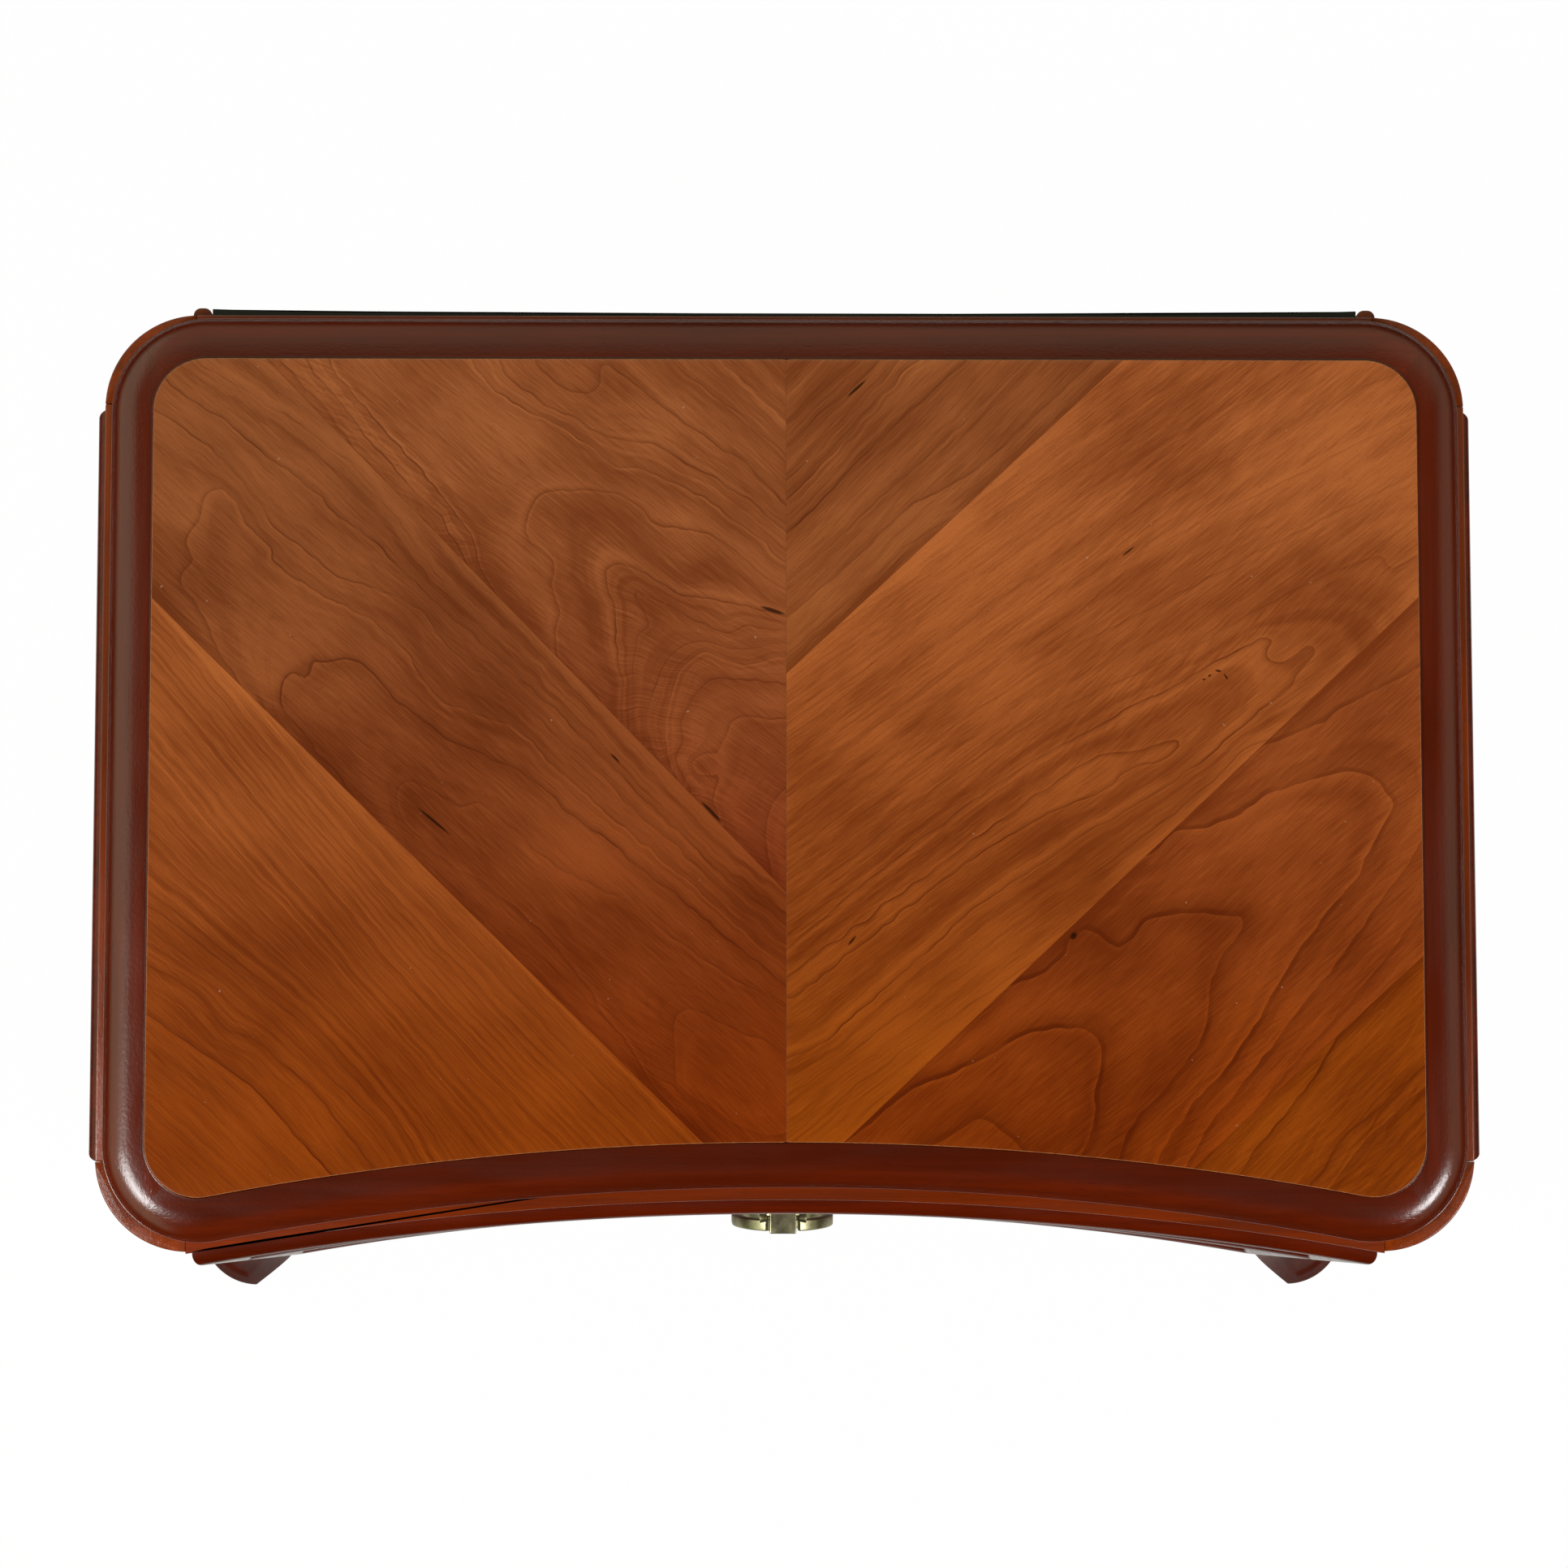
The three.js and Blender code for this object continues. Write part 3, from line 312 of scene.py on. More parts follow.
RIGHT_STRIPS = [
    dict(grain=46, back=(0.544, 0.29, 0.148), front=(0.544, 0.27, 0.1),
         straight=0.55, shade=5, fine=4, bend=5, waver=0.5,
         marks=(0.5, 0.6, 0.55, 1, 0.8, 0.7, 0.85, 0.5, 0.5),
         rings=[
             (1, (0, 93, 20, 110, 40, 128, 62, 150, 80, 160, 100, 172, 120, 190, 140, 209, 160, 228)),
             (2, (0, 112, 22, 130, 45, 152, 70, 175, 95, 198, 125, 228)),
             (3, (0, 137, 20, 156, 40, 178, 60, 197, 78, 214, 93, 228)),
             (4, (0, 155, 20, 176, 40, 199, 62, 224)),
             (5, (0, 165, 20, 184, 40, 206, 58, 228)),
             (6, (0, 183, 18, 201, 32, 212, 46, 226)),
             (7, (0, 205, 22, 228)),
         ]),
    dict(grain=37, back=(0.607, 0.318, 0.157), front=(0.515, 0.224, 0.025),
         straight=0.4, shade=4, fine=6, bend=6, waver=0.6,
         marks=(0.2, 0.25, 0.25, 0.25, 0.3, 0.4, 0.55, 0.95, 0.95, 0.5),
         rings=[
             (6, (10, -150, 40, -128, 70, -105, 100, -82, 130, -60, 160, -40, 190, -18, 220, 6, 238, 24)),
             (7, (20, -128, 40, -110, 60, -92, 80, -75, 100, -57, 130, -37, 160, -17, 190, 1, 225, 25,
                  245, 43, 256, 51, 263, 57, 267, 64, 272, 70, 277, 76, 274, 79, 268, 76, 262, 72, 256, 70,
                  251, 73, 252, 78, 254, 82, 250, 84, 240, 80, 222, 70, 205, 60, 185, 50, 165, 39, 130, 20,
                  100, 0, 60, -30, 20, -62, 1, -78)),
             (8, (1, -105, 20, -92, 40, -76, 60, -60, 90, -38, 120, -18, 150, -3, 165, 3, 172, 7, 176, 12,
                  184, 16, 192, 17, 200, 21, 205, 27, 203, 30, 195, 28, 187, 26, 178, 24, 170, 23, 160, 20,
                  140, 8, 110, -12, 80, -34, 50, -56, 20, -78, 1, -92)),
             (6, (1, -55, 30, -34, 60, -10, 100, 22, 140, 45, 180, 64, 210, 78, 235, 92, 260, 106, 280, 116,
                  292, 121, 300, 124, 308, 127, 313, 126, 315, 121, 320, 122, 330, 127)),
             (5, (1, -30, 40, 0, 80, 32, 120, 60, 160, 84, 200, 105, 240, 126, 280, 146, 331, 172)),
             (3, (1, 20, 40, 52, 80, 82, 120, 110, 160, 136, 200, 160, 250, 188, 300, 214, 331, 228)),
             (1, (60, 110, 100, 142, 140, 170, 180, 196, 230, 226)),
         ]),
    dict(grain=45, back=(0.585, 0.298, 0.145), front=(0.48, 0.186, 0.02),
         straight=0.36, shade=11, fine=8, bend=6, waver=0.8,
         marks=(0.5, 0.8, 1, 1, 0.95, 0.8, 0.6),
         rings=[
             (1, (70, -184, 80, -178, 92, -171, 100, -167, 106, -170, 113, -175, 119, -180, 124, -186)),
             (2, (30, -180, 38, -174, 50, -164, 62, -155, 75, -148, 90, -142, 100, -137, 110, -131,
                  120, -125, 132, -122, 145, -120, 155, -121, 161, -126, 163, -135, 162, -145, 160, -155,
                  159, -165, 155, -178, 151, -190)),
             (3, (106, -106, 118, -98, 125, -96, 133, -92, 140, -87, 145, -80, 147, -74, 153, -70, 160, -71,
                  168, -76, 175, -78, 180, -74, 185, -67, 192, -63, 205, -61, 215, -61, 228, -62, 237, -63,
                  234, -72, 228, -80, 224, -88, 221, -98, 219, -108, 216, -120, 212, -130, 205, -140,
                  195, -152, 185, -162, 178, -172, 170, -190)),
             (4, (190, -30, 203, -18, 215, -17, 225, -14, 235, -9, 243, -4, 250, 1, 258, 4, 268, 7, 278, 10,
                  288, 12, 297, 13, 305, 10, 311, 4, 316, -4, 312, -13, 308, -20, 302, -32, 296, -42,
                  288, -52, 280, -60, 272, -72, 264, -82, 258, -92, 250, -105, 244, -117, 235, -130,
                  225, -143, 210, -160, 199, -176, 190, -192)),
             (5, (240, 20, 248, 26, 258, 30, 268, 34, 280, 39, 290, 46, 300, 52, 315, 59, 331, 68)),
             (5, (331, -22, 318, -42, 303, -62, 290, -80, 276, -98, 262, -116, 248, -134, 232, -154,
                  218, -172, 206, -192)),
         ]),
    dict(grain=45, back=(0.515, 0.235, 0.06), front=(0.498, 0.212, 0.022),
         straight=0.46, shade=6, fine=5, bend=5, waver=0.6,
         marks=(0.3, 1, 0.25, 0.85, 0.75, 0.3, 0.5, 0.4),
         rings=[
             (1, (312, -98, 303, -107, 294, -117, 285, -125, 279, -136, 270, -149, 262, -160, 252, -171,
                  243, -182, 236, -192)),
             (3, (332, -138, 320, -148, 308, -160, 298, -167, 291, -173, 283, -183, 275, -196)),
             (4, (332, -149, 320, -160, 310, -169, 300, -178, 290, -190, 281, -202)),
             (6, (332, -172, 320, -183, 308, -195)),
         ]),
]
RIGHT_JOINTS = [(0.0, 64.4, 0.938, 1), (32.0, -177.2, 0.944, -1), (331.5, -82.2, 0.914, -1)]
RIGHT_STREAKS = [
    (37, 215, 8, 0.9, 42), (179, 129, 5, 0.6, 38), (34, -75, 4, 0.8, 50), (149, -72.5, 2.6, 1.9, 50),
    (225.5, 66, 2, 0.8, -10), (221, 63.5, 1.2, 0.7, 30), (218, 61.5, 1.2, 0.6, 10),
    (229.5, 63, 2.2, 0.6, -55),
]


# Sizes and colours that a user would change


def length(name, description, default, low=0.0, high=0.1):
    return FloatProperty(
        name=name, description=description, default=default, min=low, max=high, unit="LENGTH"
    )


def colour(name, description, default):
    return FloatVectorProperty(
        name=name, description=description, default=default, min=0, max=1, size=3, subtype="COLOR_GAMMA"
    )


def share(name, description, default, high=1.0):
    return FloatProperty(
        name=name, description=description, default=default, min=0, max=high, subtype="FACTOR"
    )


class NightstandSizes(PropertyGroup):
    bead_width: length("Bead width", "Width of the bead that frames a front or side panel", 10.5 * MM)
    bead_rise: length("Front bead", "How far the bead stands out from a drawer front", 7.3 * MM)
    side_rise: length("Side bead", "How far the bead stands out from a side panel", 7.0 * MM)
    edge_round: length("Edge rounding", "Radius of the softened edges of rails and posts", 0.9 * MM)
    box_round: length("Box rounding", "Radius of the softened edges of the drawer boxes", 1.2 * MM)
    veneer_round: length("Veneer edge", "Radius of the veneer's sanded edge", 0.35 * MM)
    veneer_step: length("Veneer grid", "Distance between the points of a veneer leaf", 2 * MM, 1 * MM)
    foot_sink: length("Foot panel", "Depth of the sunk panel in each foot", 1.6 * MM)
    foot_stile: length("Foot stile", "Width of the foot's stile at its top", 17 * MM)
    back_bow: length("Back bow", "How far the back panel bows in between its beads", 1.7 * MM)


class NightstandColours(PropertyGroup):
    rim: colour("Rim", "Stain of the moulded rim", (0.345, 0.088, 0.004))
    case: colour("Case", "Stain of the rails along the front and back", (0.48, 0.157, 0.001))
    # Painted light: the side stain is a lighter, more orange copy of the case stain, standing in for the
    # extra light on the sides.
    side: colour("Case sides", "Stain of the posts and side rails", (0.49, 0.18, 0.003))
    panel: colour("Panels", "Stain of the fronts, side panels and feet", (0.345, 0.083, 0.001))
    # The pale veneer edge is partly the bare edge and partly a painted highlight on its rounded top.
    veneer_edge_and_highlight: colour("Veneer edge", "Bare edge of the veneer", (0.66, 0.4, 0.22))
    inner: colour("Inside", "Sealed wood of the drawers and runners", (0.8, 0.66, 0.47))
    core: colour("Core", "Particle board under the veneer", (0.68, 0.55, 0.39))
    black: colour("Back", "Paint on the back panel", (0.1, 0.075, 0.06))
    brass: colour("Brass", "Aged brass of the pulls", (0.66, 0.63, 0.5))
    steel: colour("Steel", "Zinc-plated screws", (0.78, 0.78, 0.76))
    nylon: colour("Nylon", "Glides under the feet", (0.2, 0.18, 0.16))


class NightstandStudio(PropertyGroup):
    lamp_power: FloatProperty(
        name="Lamp power", description="Power of each soft lamp in front", default=28, min=0, unit="POWER"
    )
    lamp_width: length("Lamp width", "Width of each soft lamp", 0.68, 0.1, 5)
    lamp_height: length("Lamp height", "Height of each soft lamp", 0.56, 0.1, 5)
    surround: share("Surround", "Brightness of the room's walls", 1.0, 4)
    floor_glow: share("Floor white", "How much of the floor's white doesn't depend on the lamps", 0.985)
    lens: FloatProperty(name="Lens", description="Focal length", default=101.87, min=1, unit="CAMERA")


# Surfaces


def cell_quads(index):
    """The four corners of each cell of a grid of point numbers, in turn round the cell."""
    return np.stack([index[:-1, :-1], index[:-1, 1:], index[1:, 1:], index[1:, :-1]], -1).reshape(-1, 4)


def cell_triangles(index):
    """Cells cut in two along the diagonal towards the middle of the grid, so that mitres stay straight."""
    a, b, c, d = index[:-1, :-1], index[:-1, 1:], index[1:, 1:], index[1:, :-1]
    rows, columns = np.indices(a.shape)
    along = ((rows < a.shape[0] / 2) == (columns < a.shape[1] / 2))[..., None]
    first = np.where(along, np.stack([a, b, c], -1), np.stack([a, b, d], -1))
    second = np.where(along, np.stack([a, c, d], -1), np.stack([b, c, d], -1))
    return np.concatenate([first.reshape(-1, 3), second.reshape(-1, 3)])


def enclosed_volume(points, faces):
    """A sixth of the sum of a·(b×c) over the fan of triangles of every face."""
    total = 0.0
    for face in faces:
        corners = points[np.atleast_2d(face)]
        first, rest = corners[:, :1], corners[:, 1:]
        crossed = np.cross(rest[:, :-1], rest[:, 1:])
        total += np.einsum("fki,fki->", np.broadcast_to(first, crossed.shape), crossed)
    return total / 6


def make_piece(name, shells, smooth):
    """One mesh from closed shells, each (points, list of face arrays), with its faces turned outwards."""
    all_points, all_faces, start = [], [], 0
    for points, faces in shells:
        points = np.asarray(points, float).reshape(-1, 3)
        inside_out = enclosed_volume(points, faces) < 0
        for group in faces:
            turned = np.atleast_2d(group)[:, ::-1] if inside_out else np.atleast_2d(group)
            all_faces.extend((turned + start).tolist())
        all_points.append(points)
        start += len(points)
    mesh = bpy.data.meshes.new(name)
    mesh.from_pydata(np.concatenate(all_points), [], all_faces)
    mesh.update()
    mesh.shade_smooth()
    mesh.set_sharp_from_angle(angle=math.radians(smooth))
    piece = bpy.data.objects.new(name, mesh)
    bpy.context.scene.collection.objects.link(piece)
    return piece


def lofted(rows):
    """Equal loops of points joined in turn, the first and last filled with one flat face each."""
    count, points = rows.shape[:2]
    index = np.arange(count * points).reshape(count, points)
    wrapped = np.concatenate([index, index[:, :1]], 1)
    return rows, [cell_quads(wrapped), index[0][::-1], index[-1]]


def slab(face, back):
    """A grid of face points and a grid of back points of the same size, joined round their four edges."""
    rows, columns = face.shape[:2]
    index = np.arange(rows * columns).reshape(rows, columns)
    size = rows * columns
    edge = np.concatenate([index[0, :-1], index[:-1, -1], index[-1, :0:-1], index[:0:-1, 0]])
    after = np.roll(edge, -1)
    sides = np.stack([after, edge, edge + size, after + size], 1)
    return np.stack([face, back]), [cell_triangles(index), cell_quads(index)[:, ::-1] + size, sides]


def soft_corners(corners, radius, steps):
    """Every sharp corner p becomes the curve (1-t)²a + 2t(1-t)p + t²b, with a and b on its two sides.
    Nearly straight ones, by the cosine between their sides, stay as they are."""
    p = np.asarray(corners, float)
    before, after = np.roll(p, 1, 0) - p, np.roll(p, -1, 0) - p
    before_length, after_length = np.linalg.norm(before, axis=1), np.linalg.norm(after, axis=1)
    before, after = before / before_length[:, None], after / after_length[:, None]
    sharp = np.einsum("ij,ij->i", before, after) > SHARP_COSINE
    reach = np.minimum(radius, SIDE_SHARE * np.minimum(before_length, after_length))[:, None, None]
    t = np.linspace(0, 1, steps + 1)[None, :, None]
    a, b = before[:, None] * reach + p[:, None], after[:, None] * reach + p[:, None]
    curve = (1 - t) ** 2 * a + 2 * t * (1 - t) * p[:, None] + t**2 * b
    curve = np.where(sharp[:, None, None], curve, p[:, None])
    keep = sharp[:, None] | (np.arange(steps + 1) == 0)[None]
    return curve[keep]


def anticlockwise(outline):
    """The outline, reversed if the area that it goes round is negative."""
    x, y = outline[:, 0], outline[:, 1]
    area = np.sum(x * np.roll(y, -1) - np.roll(x, -1) * y)
    return outline if area > 0 else outline[::-1]


def drawn_in(outline, distances, shown):
    """The outline moved inwards: p + d (m + n) / (1 + m·n), with m and n the inward normals beside p.
    Where shown is a test of points, the points that fail it move only a fifth as far."""
    step = np.roll(outline, -1, 0) - outline
    n = np.stack([-step[:, 1], step[:, 0]], 1) / np.linalg.norm(step, axis=1)[:, None]
    m = np.roll(n, 1, 0)
    way = (m + n) / (1 + np.einsum("ij,ij->i", m, n))[:, None]
    if shown is not None:
        way = way * np.where(shown(outline[:, 0], outline[:, 1]), 1.0, HIDDEN_SHARE)[:, None]
    return outline[None] + np.asarray(distances)[:, None, None] * way[None]


def prism(corners, low, high, rounding, axis="z", corner_rounding=None, steps=4, stations=2, shown=None):
    """A flat outline carried along an axis. At each end it is drawn in by r (1-sin a) while it advances by
    r (1-cos a). Where shown is a test of points, hidden points are hardly drawn in."""
    corner_radius = rounding if corner_rounding is None else corner_rounding
    outline = anticlockwise(soft_corners(corners, corner_radius, steps))
    a = np.linspace(0, np.pi / 2, steps + 1)
    inset, advance = rounding * (1 - np.sin(a)), rounding * (1 - np.cos(a))
    middle = np.linspace(low + rounding, high - rounding, stations)[1:-1]
    level = np.concatenate([low + advance, middle, (high - advance)[::-1]])
    distance = np.concatenate([inset, np.zeros(len(middle)), inset[::-1]])
    flat = drawn_in(outline, distance, shown)
    along = np.broadcast_to(level[:, None, None], flat.shape[:2] + (1,))
    u, v, w = flat[..., :1], flat[..., 1:], along
    order = {"z": (u, v, w), "y": (u, w, v), "x": (w, u, v)}[axis]
    return lofted(np.concatenate(order, -1))


def box_outline(low, high, axis):
    """The four corners of a box, seen along an axis."""
    first, second = {"z": (0, 1), "y": (0, 2), "x": (1, 2)}[axis]
    return [
        (low[first], low[second]), (high[first], low[second]),
        (high[first], high[second]), (low[first], high[second]),
    ]


def turned(profile, axis, centre):
    """A profile of radius and distance turned round an axis through the centre, flat at both ends."""
    r, h = np.asarray(profile, float).T
    angle = np.linspace(0, 2 * np.pi, TURNED_SIDES, endpoint=False)
    first, second = r[:, None] * np.cos(angle), r[:, None] * np.sin(angle)
    along = np.broadcast_to(h[:, None], first.shape)
    order = {"z": (first, second, along), "y": (second, along, first), "x": (along, first, second)}[axis]
    return lofted(np.stack(order, -1) + np.asarray(centre))


def smooth_line(points, steps):
    """A line through all points: on each span the cubic whose slopes are half the way between neighbours."""
    p = np.asarray(points, float)
    ends = np.concatenate([2 * p[:1] - p[1:2], p, 2 * p[-1:] - p[-2:-1]])
    slope = (ends[2:] - ends[:-2]) / 2
    t = np.linspace(0, 1, steps, endpoint=False)[None, :, None]
    a, b, c, d = p[:-1, None], p[1:, None], slope[:-1, None], slope[1:, None]
    line = (2 * t**3 - 3 * t**2 + 1) * a + (t**3 - 2 * t**2 + t) * c
    line = line + (3 * t**2 - 2 * t**3) * b + (t**3 - t**2) * d
    return np.concatenate([line.reshape(-1, p.shape[1]), p[-1:]])


class Outline:
    """Plan of the case or the top: straight back and sides, a concave front and four round corners."""

    def __init__(self, half_width, back, front, curve, corner):
        self.curve, self.corner_radius = curve, corner
        self.curve_centre = front - curve
        self.corner_x = half_width - corner
        self.rear_y = back - corner
        self.fore_y = self.curve_centre + math.sqrt((curve + corner) ** 2 - self.corner_x**2)
        self.meet = math.atan2(self.fore_y - self.curve_centre, self.corner_x)

    def corner(self, side, centre_y, angles):
        """Points and outward normals of a corner: centre + r (cos a, sin a)."""
        normal = np.stack([side * np.cos(angles), np.sin(angles)], 1)
        centre = np.array([side * self.corner_x, centre_y])
        return centre + self.corner_radius * normal, normal

    def front(self, angles):
        """Points and outward normals of the concave front, whose circle lies in front of the case."""
        way = np.stack([np.cos(angles), np.sin(angles)], 1)
        return np.array([0, self.curve_centre]) + self.curve * way, -way

    def front_y(self, x, inset=0.0):
        """y of the concave front at x, at an inset behind its face."""
        return self.curve_centre + np.sqrt((self.curve + inset) ** 2 - np.square(x))


CASE = Outline(CASE_HALF_WIDTH, CASE_BACK, CASE_FRONT, CASE_CURVE, CASE_CORNER)
TOP = Outline(TOP_HALF_WIDTH, TOP_BACK, TOP_FRONT, TOP_CURVE, TOP_CORNER)
POST_INNER = CASE_HALF_WIDTH - POST_WIDTH
FRONT_POST_BACK = CASE.front_y(POST_INNER) + POST_WIDTH
REAR_POST_FRONT = CASE_BACK - POST_WIDTH


def joined(*parts):
    """Runs of points and normals laid end to end."""
    return tuple(np.concatenate(run) for run in zip(*parts))


def mirrored(points, normals):
    """A run on the other side of the middle, in reverse order."""
    flip = np.array([-1, 1])
    return points[::-1] * flip, normals[::-1] * flip


def swept(run, section):
    """A closed section of inset and height, carried along a run of points: p - inset n at each height."""
    points, normals = run
    inset, height = section[:, 0], section[:, 1]
    flat = points[:, None] - inset[None, :, None] * normals[:, None]
    level = np.broadcast_to(height[None, :, None], flat.shape[:2] + (1,))
    return lofted(np.concatenate([flat, level], -1))


# Finishes


def written(value):
    """An sRGB colour as the linear numbers of a shader."""
    c = np.asarray(value, float)
    linear = np.where(c <= 0.04045, c / 12.92, ((c + 0.055) / 1.055) ** 2.4)
    return (*linear.tolist(), 1.0)


def shaded(value, factor):
    """A shader colour, lighter or darker by a factor."""
    return tuple(min(1.0, part * factor) for part in value[:3]) + (1.0,)


class Nodes:
    """An emptied node tree with short calls for new nodes."""

    def __init__(self, tree):
        self.tree = tree
        self.tree.nodes.clear()

    def node(self, kind, inputs=(), **settings):
        node = self.tree.nodes.new("ShaderNode" + kind)
        for key, value in settings.items():
            setattr(node, key, value)
        for socket, value in dict(inputs).items():
            self.feed(node.inputs[socket], value)
        return node

    def feed(self, socket, value):
        if isinstance(value, bpy.types.NodeSocket):
            self.tree.links.new(value, socket)
        else:
            socket.default_value = value

    def math(self, operation, *values):
        return self.node("Math", dict(enumerate(values)), operation=operation).outputs[0]

    def vector(self, operation, *values):
        node = self.node("VectorMath", dict(enumerate(values)), operation=operation)
        return node.outputs["Value" if operation == "DOT_PRODUCT" else "Vector"]

    def span(self, value, low, high, first=0.0, last=1.0):
        inputs = {0: value, 1: low, 2: high, 3: first, 4: last}
        return self.node("MapRange", inputs, interpolation_type="SMOOTHSTEP").outputs[0]

    def noise(self, place, stretch=(1, 1, 1), detail=2.0, rough=0.5):
        scaled = self.vector("MULTIPLY", place, stretch)
        inputs = {"Vector": scaled, "Scale": 1.0, "Detail": detail, "Roughness": rough}
        return self.node("TexNoise", inputs).outputs[0]

    def mix(self, factor, first, second, kind="RGBA", blend="MIX"):
        at = {"RGBA": (6, 7, 2), "VECTOR": (4, 5, 1)}[kind]
        node = self.node("Mix", {0: factor, at[0]: first, at[1]: second}, data_type=kind)
        if kind == "RGBA":
            node.blend_type = blend
        return node.outputs[at[2]]

    def ramp(self, value, *stops):
        node = self.node("ValToRGB", {0: value})
        elements = node.color_ramp.elements
        while len(elements) < len(stops):
            elements.new(0.5)
        for element, (position, stop_colour) in zip(elements, stops):
            element.position, element.color = position, stop_colour
        return node.outputs[0]

    def weighted(self, *terms):
        """0.5 plus each (value - 0.5) times its weight."""
        total = 0.5
        for value, weight in terms:
            total = self.math("MULTIPLY_ADD", self.math("SUBTRACT", value, 0.5), weight, total)
        return total

    def place(self, grain="x"):
        """Object coordinates, turned so that the grain runs along the first."""
        source = self.node("TexCoord").outputs["Object"]
        parts = self.node("SeparateXYZ", {0: source}).outputs
        order = {"x": (0, 1, 2), "y": (1, 0, 2), "z": (2, 0, 1)}[grain]
        return self.node("CombineXYZ", {i: parts[axis] for i, axis in enumerate(order)}).outputs[0]

    def bump(self, height, distance):
        return self.node("Bump", {"Height": height, "Distance": distance, "Strength": 1.0}).outputs[0]


class Finish(Nodes):
    """A new material, with the same calls for its nodes."""

    def __init__(self, name):
        self.material = bpy.data.materials.new(name)
        self.material.use_nodes = True
        super().__init__(self.material.node_tree)

    def surface(self, base, roughness, normal, **fixed):
        inputs = {"Base Color": base, "Roughness": roughness, **fixed, "Normal": normal}
        shader = self.node("BsdfPrincipled", inputs)
        self.node("OutputMaterial", {"Surface": shader.outputs[0]})
        return self.material


def stained_wood(name, tone, grain, figure=1.0, roughness=0.23, gloss=0.6, index=1.5, groove=()):
    """Dark stained wood under satin lacquer: soft bands, fine streaks, short pores and a slight orange peel.
    A groove gives the strength of a painted shade in the crease beside the veneer's step at the top of the
    rim, in front and behind, and at the sides."""
    f = Finish(name)
    place = f.place(grain)
    band = f.noise(place, (2.2, 34, 34), 3)
    streak = f.noise(place, (9, 260, 260), 3)
    blotch = f.noise(place, (9, 16, 16), 2)
    pore = f.span(f.noise(place, (110, 1500, 1500), 1), 0.6, 0.74)
    tint = f.weighted((band, 0.95 * figure), (streak, 0.8 * figure), (blotch, 0.7 * figure))
    base = f.ramp(tint, (0.2, shaded(tone, 0.68)), (0.5, tone), (0.8, shaded(tone, 1.42)))
    base = f.mix(f.math("MULTIPLY", pore, 0.3), base, shaded(tone, 0.35))
    # Painted shade: the rim is darkened just below the veneer's step, more in front and behind than at the
    # sides.
    if groove:
        parts = f.node("SeparateXYZ", {0: f.place()}).outputs
        inner = f.span(parts[2], TOP_HEIGHT - STEP_SHADE_LOW, TOP_HEIGHT - STEP_SHADE_HIGH)
        strength = f.span(f.math("ABSOLUTE", parts[0]), *STEP_SHADE_ENDS, *groove)
        base = f.mix(f.math("MULTIPLY", inner, strength), base, shaded(tone, 0.3))
    peel = f.noise(place, (420, 620, 620), 2)
    height = f.math("MULTIPLY_ADD", pore, -0.25, peel)
    rough = f.span(f.noise(place, (14, 60, 60), 2), 0.3, 0.7, roughness - 0.03, roughness + 0.04)
    return f.surface(base, rough, f.bump(height, PEEL_DEPTH), **{"Specular IOR Level": gloss, "IOR": index})


def sealed_wood(name, tone, grain):
    """Pale sealed wood of the drawer boxes: faint rings, long streaks and fine pores."""
    f = Finish(name)
    place = f.place(grain)
    ring = f.noise(place, (1.6, 26, 26), 4, 0.6)
    streak = f.noise(place, (12, 330, 330), 3)
    pore = f.span(f.noise(place, (120, 1700, 1700), 1), 0.6, 0.78)
    tint = f.weighted((ring, 1.1), (streak, 0.7))
    base = f.ramp(tint, (0.15, shaded(tone, 0.72)), (0.5, tone), (0.85, shaded(tone, 1.18)))
    base = f.mix(f.math("MULTIPLY", pore, 0.35), base, shaded(tone, 0.5))
    rough = f.span(streak, 0.3, 0.7, 0.46, 0.6)
    height = f.math("SUBTRACT", streak, pore)
    return f.surface(base, rough, f.bump(height, PEEL_DEPTH), **{"Specular IOR Level": 0.4})


def particle_board(name, tone):
    """Pressed chips: flat flakes of several browns with fine gaps."""
    f = Finish(name)
    place = f.place()
    flakes = f.node("TexVoronoi", {"Vector": f.vector("MULTIPLY", place, (160, 260, 420)), "Scale": 1.0})
    shade = f.node("SeparateColor", {0: flakes.outputs["Color"]}).outputs[0]
    dust = f.noise(place, (900, 900, 900), 2)
    tint = f.weighted((shade, 0.8), (dust, 0.4))
    base = f.ramp(tint, (0.1, shaded(tone, 0.55)), (0.5, tone), (0.9, shaded(tone, 1.35)))
    return f.surface(base, f.span(dust, 0.3, 0.7, 0.75, 0.9), f.bump(tint, CHIP_DEPTH))


def painted_board(name, tone):
    """Matt black paint on fibreboard: a soft nap, thin patches and dust."""
    f = Finish(name)
    place = f.place()
    nap = f.noise(place, (700, 700, 700), 3)
    patch = f.noise(place, (14, 14, 14), 3)
    dust = f.span(f.noise(place, (260, 260, 260), 1), 0.68, 0.8)
    tint = f.weighted((nap, 0.5), (patch, 0.7))
    base = f.ramp(tint, (0.2, shaded(tone, 0.6)), (0.5, tone), (0.85, shaded(tone, 1.7)))
    base = f.mix(f.math("MULTIPLY", dust, 0.3), base, shaded(tone, 6))
    return f.surface(base, f.span(patch, 0.3, 0.7, 0.62, 0.78), f.bump(nap, NAP_DEPTH))


